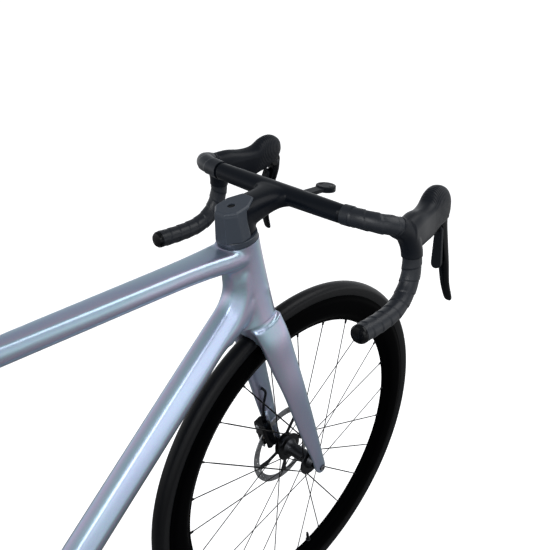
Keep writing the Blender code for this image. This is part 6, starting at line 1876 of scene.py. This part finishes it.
def make_floor(look):
    """A wide floor: white to the camera, grey where the bike reflects it, glowing far off."""
    graph = Finish("floor", (look.floor,) * 3, 0.9, shine=0.1)
    graph.set(graph.shader, {"Emission Color": (1, 1, 1, 1)})
    path = graph.add("ShaderNodeLightPath")
    shade = graph.blend(path, "Is Camera Ray", (look.bounce,) * 3, (look.floor,) * 3)
    graph.wire(shade, 2, graph.shader, "Base Color")
    away = graph.add("ShaderNodeVectorMath", operation="LENGTH")
    graph.wire(graph.place(), "Vector", away, 0)
    far = graph.add("ShaderNodeMapRange", {"From Min": 1.2, "From Max": 4.5,
                                           "To Max": look.sweep})
    graph.wire(away, "Value", far, "Value")
    light = graph.add("ShaderNodeMix", data_type="FLOAT")
    graph.wire(path, "Is Camera Ray", light, "Factor")
    graph.wire(far, "Result", light, 2)
    light.inputs[3].default_value = look.glow
    graph.wire(light, 0, graph.shader, "Emission Strength")
    bm = bmesh.new()
    bmesh.ops.create_grid(bm, x_segments=2, y_segments=2, size=30)
    floor = put("floor", mesh_of(bm, "floor"))
    floor.data.materials.append(graph.material)
    floor.location.z = -0.0005


def make_world(look):
    """White where the camera looks past the floor, softer where the bike reflects it."""
    world = bpy.data.worlds.new("studio")
    bpy.context.scene.world = world
    world.use_nodes = True
    graph = Graph(world.node_tree)
    graph.tree.nodes.clear()
    seen = graph.add("ShaderNodeBackground", {"Color": (1, 1, 1, 1), "Strength": 1.0})
    soft = graph.add("ShaderNodeBackground", {"Color": (0.93, 0.96, 1, 1)})
    split = graph.add("ShaderNodeSeparateXYZ")
    height = graph.add("ShaderNodeMapRange", {"From Min": 0.02, "From Max": 0.55,
                                              "To Min": look.sweep, "To Max": look.fill})
    graph.wire(graph.add("ShaderNodeTexCoord"), "Generated", split, "Vector")
    graph.wire(split, "Z", height, "Value")
    graph.wire(height, "Result", soft, "Strength")
    mix = graph.add("ShaderNodeMixShader")
    graph.wire(graph.add("ShaderNodeLightPath"), "Is Camera Ray", mix, "Fac")
    graph.wire(soft, "Background", mix, 1)
    graph.wire(seen, "Background", mix, 2)
    graph.wire(mix, "Shader", graph.add("ShaderNodeOutputWorld"), "Surface")


def make_lamp(name, place, aim, size, power):
    """A large soft lamp that points at a place on the bike."""
    lamp = bpy.data.lights.new(name, "AREA")
    lamp.shape = "RECTANGLE"
    lamp.size, lamp.size_y = size
    lamp.energy = power
    item = put(name, lamp)
    item.location = place
    item.rotation_euler = (Vector(aim) - Vector(place)).to_track_quat("-Z", "Y").to_euler()


def make_camera():
    """A camera from above and behind the rider's right, with the photo's slight roll."""
    ahead = Vector((math.cos(CAMERA_PITCH) * math.cos(CAMERA_YAW),
                    math.cos(CAMERA_PITCH) * math.sin(CAMERA_YAW), math.sin(CAMERA_PITCH)))
    level = ahead.cross(Z).normalized()
    above = level.cross(ahead)
    c, s = math.cos(CAMERA_ROLL), math.sin(CAMERA_ROLL)
    right, up = level * c + above * s, above * c - level * s
    lens = bpy.data.cameras.new("camera")
    lens.lens = CAMERA_LENS
    lens.sensor_width = 36
    lens.clip_start = 0.01
    item = put("camera", lens)
    item.matrix_world = (Matrix.Translation(CAMERA_PLACE)
                         @ Matrix((right, up, -ahead)).transposed().to_4x4())
    bpy.context.scene.camera = item


# Operators and panel

def mix_finishes(context):
    """Makes the finishes once, before the first piece that needs them."""
    if not FINISHES:
        FINISHES.update(make_finishes(context.scene.bike_paint))


class BIKE_OT_frame(bpy.types.Operator):
    """Build the painted frame with soft joins between its tubes"""

    bl_idname = "bike.dress_frame"
    bl_label = "Frame"

    def execute(self, context):
        mix_finishes(context)
        make_frame_skin()
        make_bottle_bolts()
        repaint("headset_lower_bearing", "headset_upper_bearing", "bb_cup_left", "bb_cup_right",
                "crank_spindle")
        return {"FINISHED"}


class BIKE_OT_fork(bpy.types.Operator):
    """Build the painted fork"""

    bl_idname = "bike.dress_fork"
    bl_label = "Fork"

    def execute(self, context):
        mix_finishes(context)
        make_fork_skin()
        return {"FINISHED"}


class BIKE_OT_cockpit(bpy.types.Operator):
    """Build the bar and stem, the stem cover and the computer mount"""

    bl_idname = "bike.dress_cockpit"
    bl_label = "Bar and Stem"

    def execute(self, context):
        mix_finishes(context)
        make_cockpit_skin()
        make_cover()
        make_mount()
        return {"FINISHED"}


class BIKE_OT_grips(bpy.types.Operator):
    """Wind the bar tape and build the hoods, brake levers and shift paddles"""

    bl_idname = "bike.dress_grips"
    bl_label = "Tape, Hoods and Levers"

    def execute(self, context):
        mix_finishes(context)
        make_tape(context.scene.bike_grips)
        make_hoods()
        make_levers()
        return {"FINISHED"}


class BIKE_OT_wheels(bpy.types.Operator):
    """Build both wheels and their axles"""

    bl_idname = "bike.dress_wheels"
    bl_label = "Wheels"

    def execute(self, context):
        mix_finishes(context)
        make_wheels(context.scene.bike_wheels)
        return {"FINISHED"}


class BIKE_OT_brakes(bpy.types.Operator):
    """Build the brake calipers, pads and front hose"""

    bl_idname = "bike.dress_brakes"
    bl_label = "Brakes"

    def execute(self, context):
        mix_finishes(context)
        make_calipers()
        make_hose()
        return {"FINISHED"}


class BIKE_OT_drivetrain(bpy.types.Operator):
    """Build the cranks, rings, chain, cassette, pulleys and derailleurs"""

    bl_idname = "bike.dress_drivetrain"
    bl_label = "Drivetrain"

    def execute(self, context):
        mix_finishes(context)
        make_cranks()
        make_rings()
        make_cassette()
        make_pulleys()
        make_chain()
        make_derailleurs()
        return {"FINISHED"}


class BIKE_OT_saddle(bpy.types.Operator):
    """Build the saddle, its rails and the seatpost"""

    bl_idname = "bike.dress_saddle"
    bl_label = "Saddle and Post"

    def execute(self, context):
        mix_finishes(context)
        make_saddle()
        return {"FINISHED"}


class BIKE_OT_stage(bpy.types.Operator):
    """Set up the floor, the surroundings, the lamps and the camera"""

    bl_idname = "bike.set_stage"
    bl_label = "Stage"

    def execute(self, context):
        look = context.scene.bike_stage
        make_floor(look)
        make_world(look)
        for name, (place, aim, size, share) in LAMPS.items():
            make_lamp(name, place, aim, size, look.key * share)
        make_camera()
        context.scene.view_settings.view_transform = "Standard"
        return {"FINISHED"}


class BIKE_PT_panel(bpy.types.Panel):
    """The bike's pieces in the order in which they are built, and the stage"""

    bl_label = "Road Bike"
    bl_space_type = "VIEW_3D"
    bl_region_type = "UI"
    bl_category = "Road Bike"

    def draw(self, context):
        for operator in OPERATORS:
            self.layout.operator(operator.bl_idname)


LOOKS = (PaintLook, GripLook, WheelLook, StageLook)
OPERATORS = (BIKE_OT_frame, BIKE_OT_fork, BIKE_OT_cockpit, BIKE_OT_grips, BIKE_OT_wheels,
             BIKE_OT_brakes, BIKE_OT_drivetrain, BIKE_OT_saddle, BIKE_OT_stage)


def register():
    for kind in (*LOOKS, *OPERATORS, BIKE_PT_panel):
        bpy.utils.register_class(kind)
    bpy.types.Scene.bike_paint = PointerProperty(type=PaintLook)
    bpy.types.Scene.bike_grips = PointerProperty(type=GripLook)
    bpy.types.Scene.bike_wheels = PointerProperty(type=WheelLook)
    bpy.types.Scene.bike_stage = PointerProperty(type=StageLook)


def unregister():
    for name in ("bike_paint", "bike_grips", "bike_wheels", "bike_stage"):
        delattr(bpy.types.Scene, name)
    for kind in reversed((*LOOKS, *OPERATORS, BIKE_PT_panel)):
        bpy.utils.unregister_class(kind)


def main():
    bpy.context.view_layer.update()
    register()
    for operator in OPERATORS:
        group, name = operator.bl_idname.split(".")
        if getattr(getattr(bpy.ops, group), name)() != {"FINISHED"}:
            raise RuntimeError(f"{operator.bl_label} didn't finish")


if __name__ == "__main__":
    main()
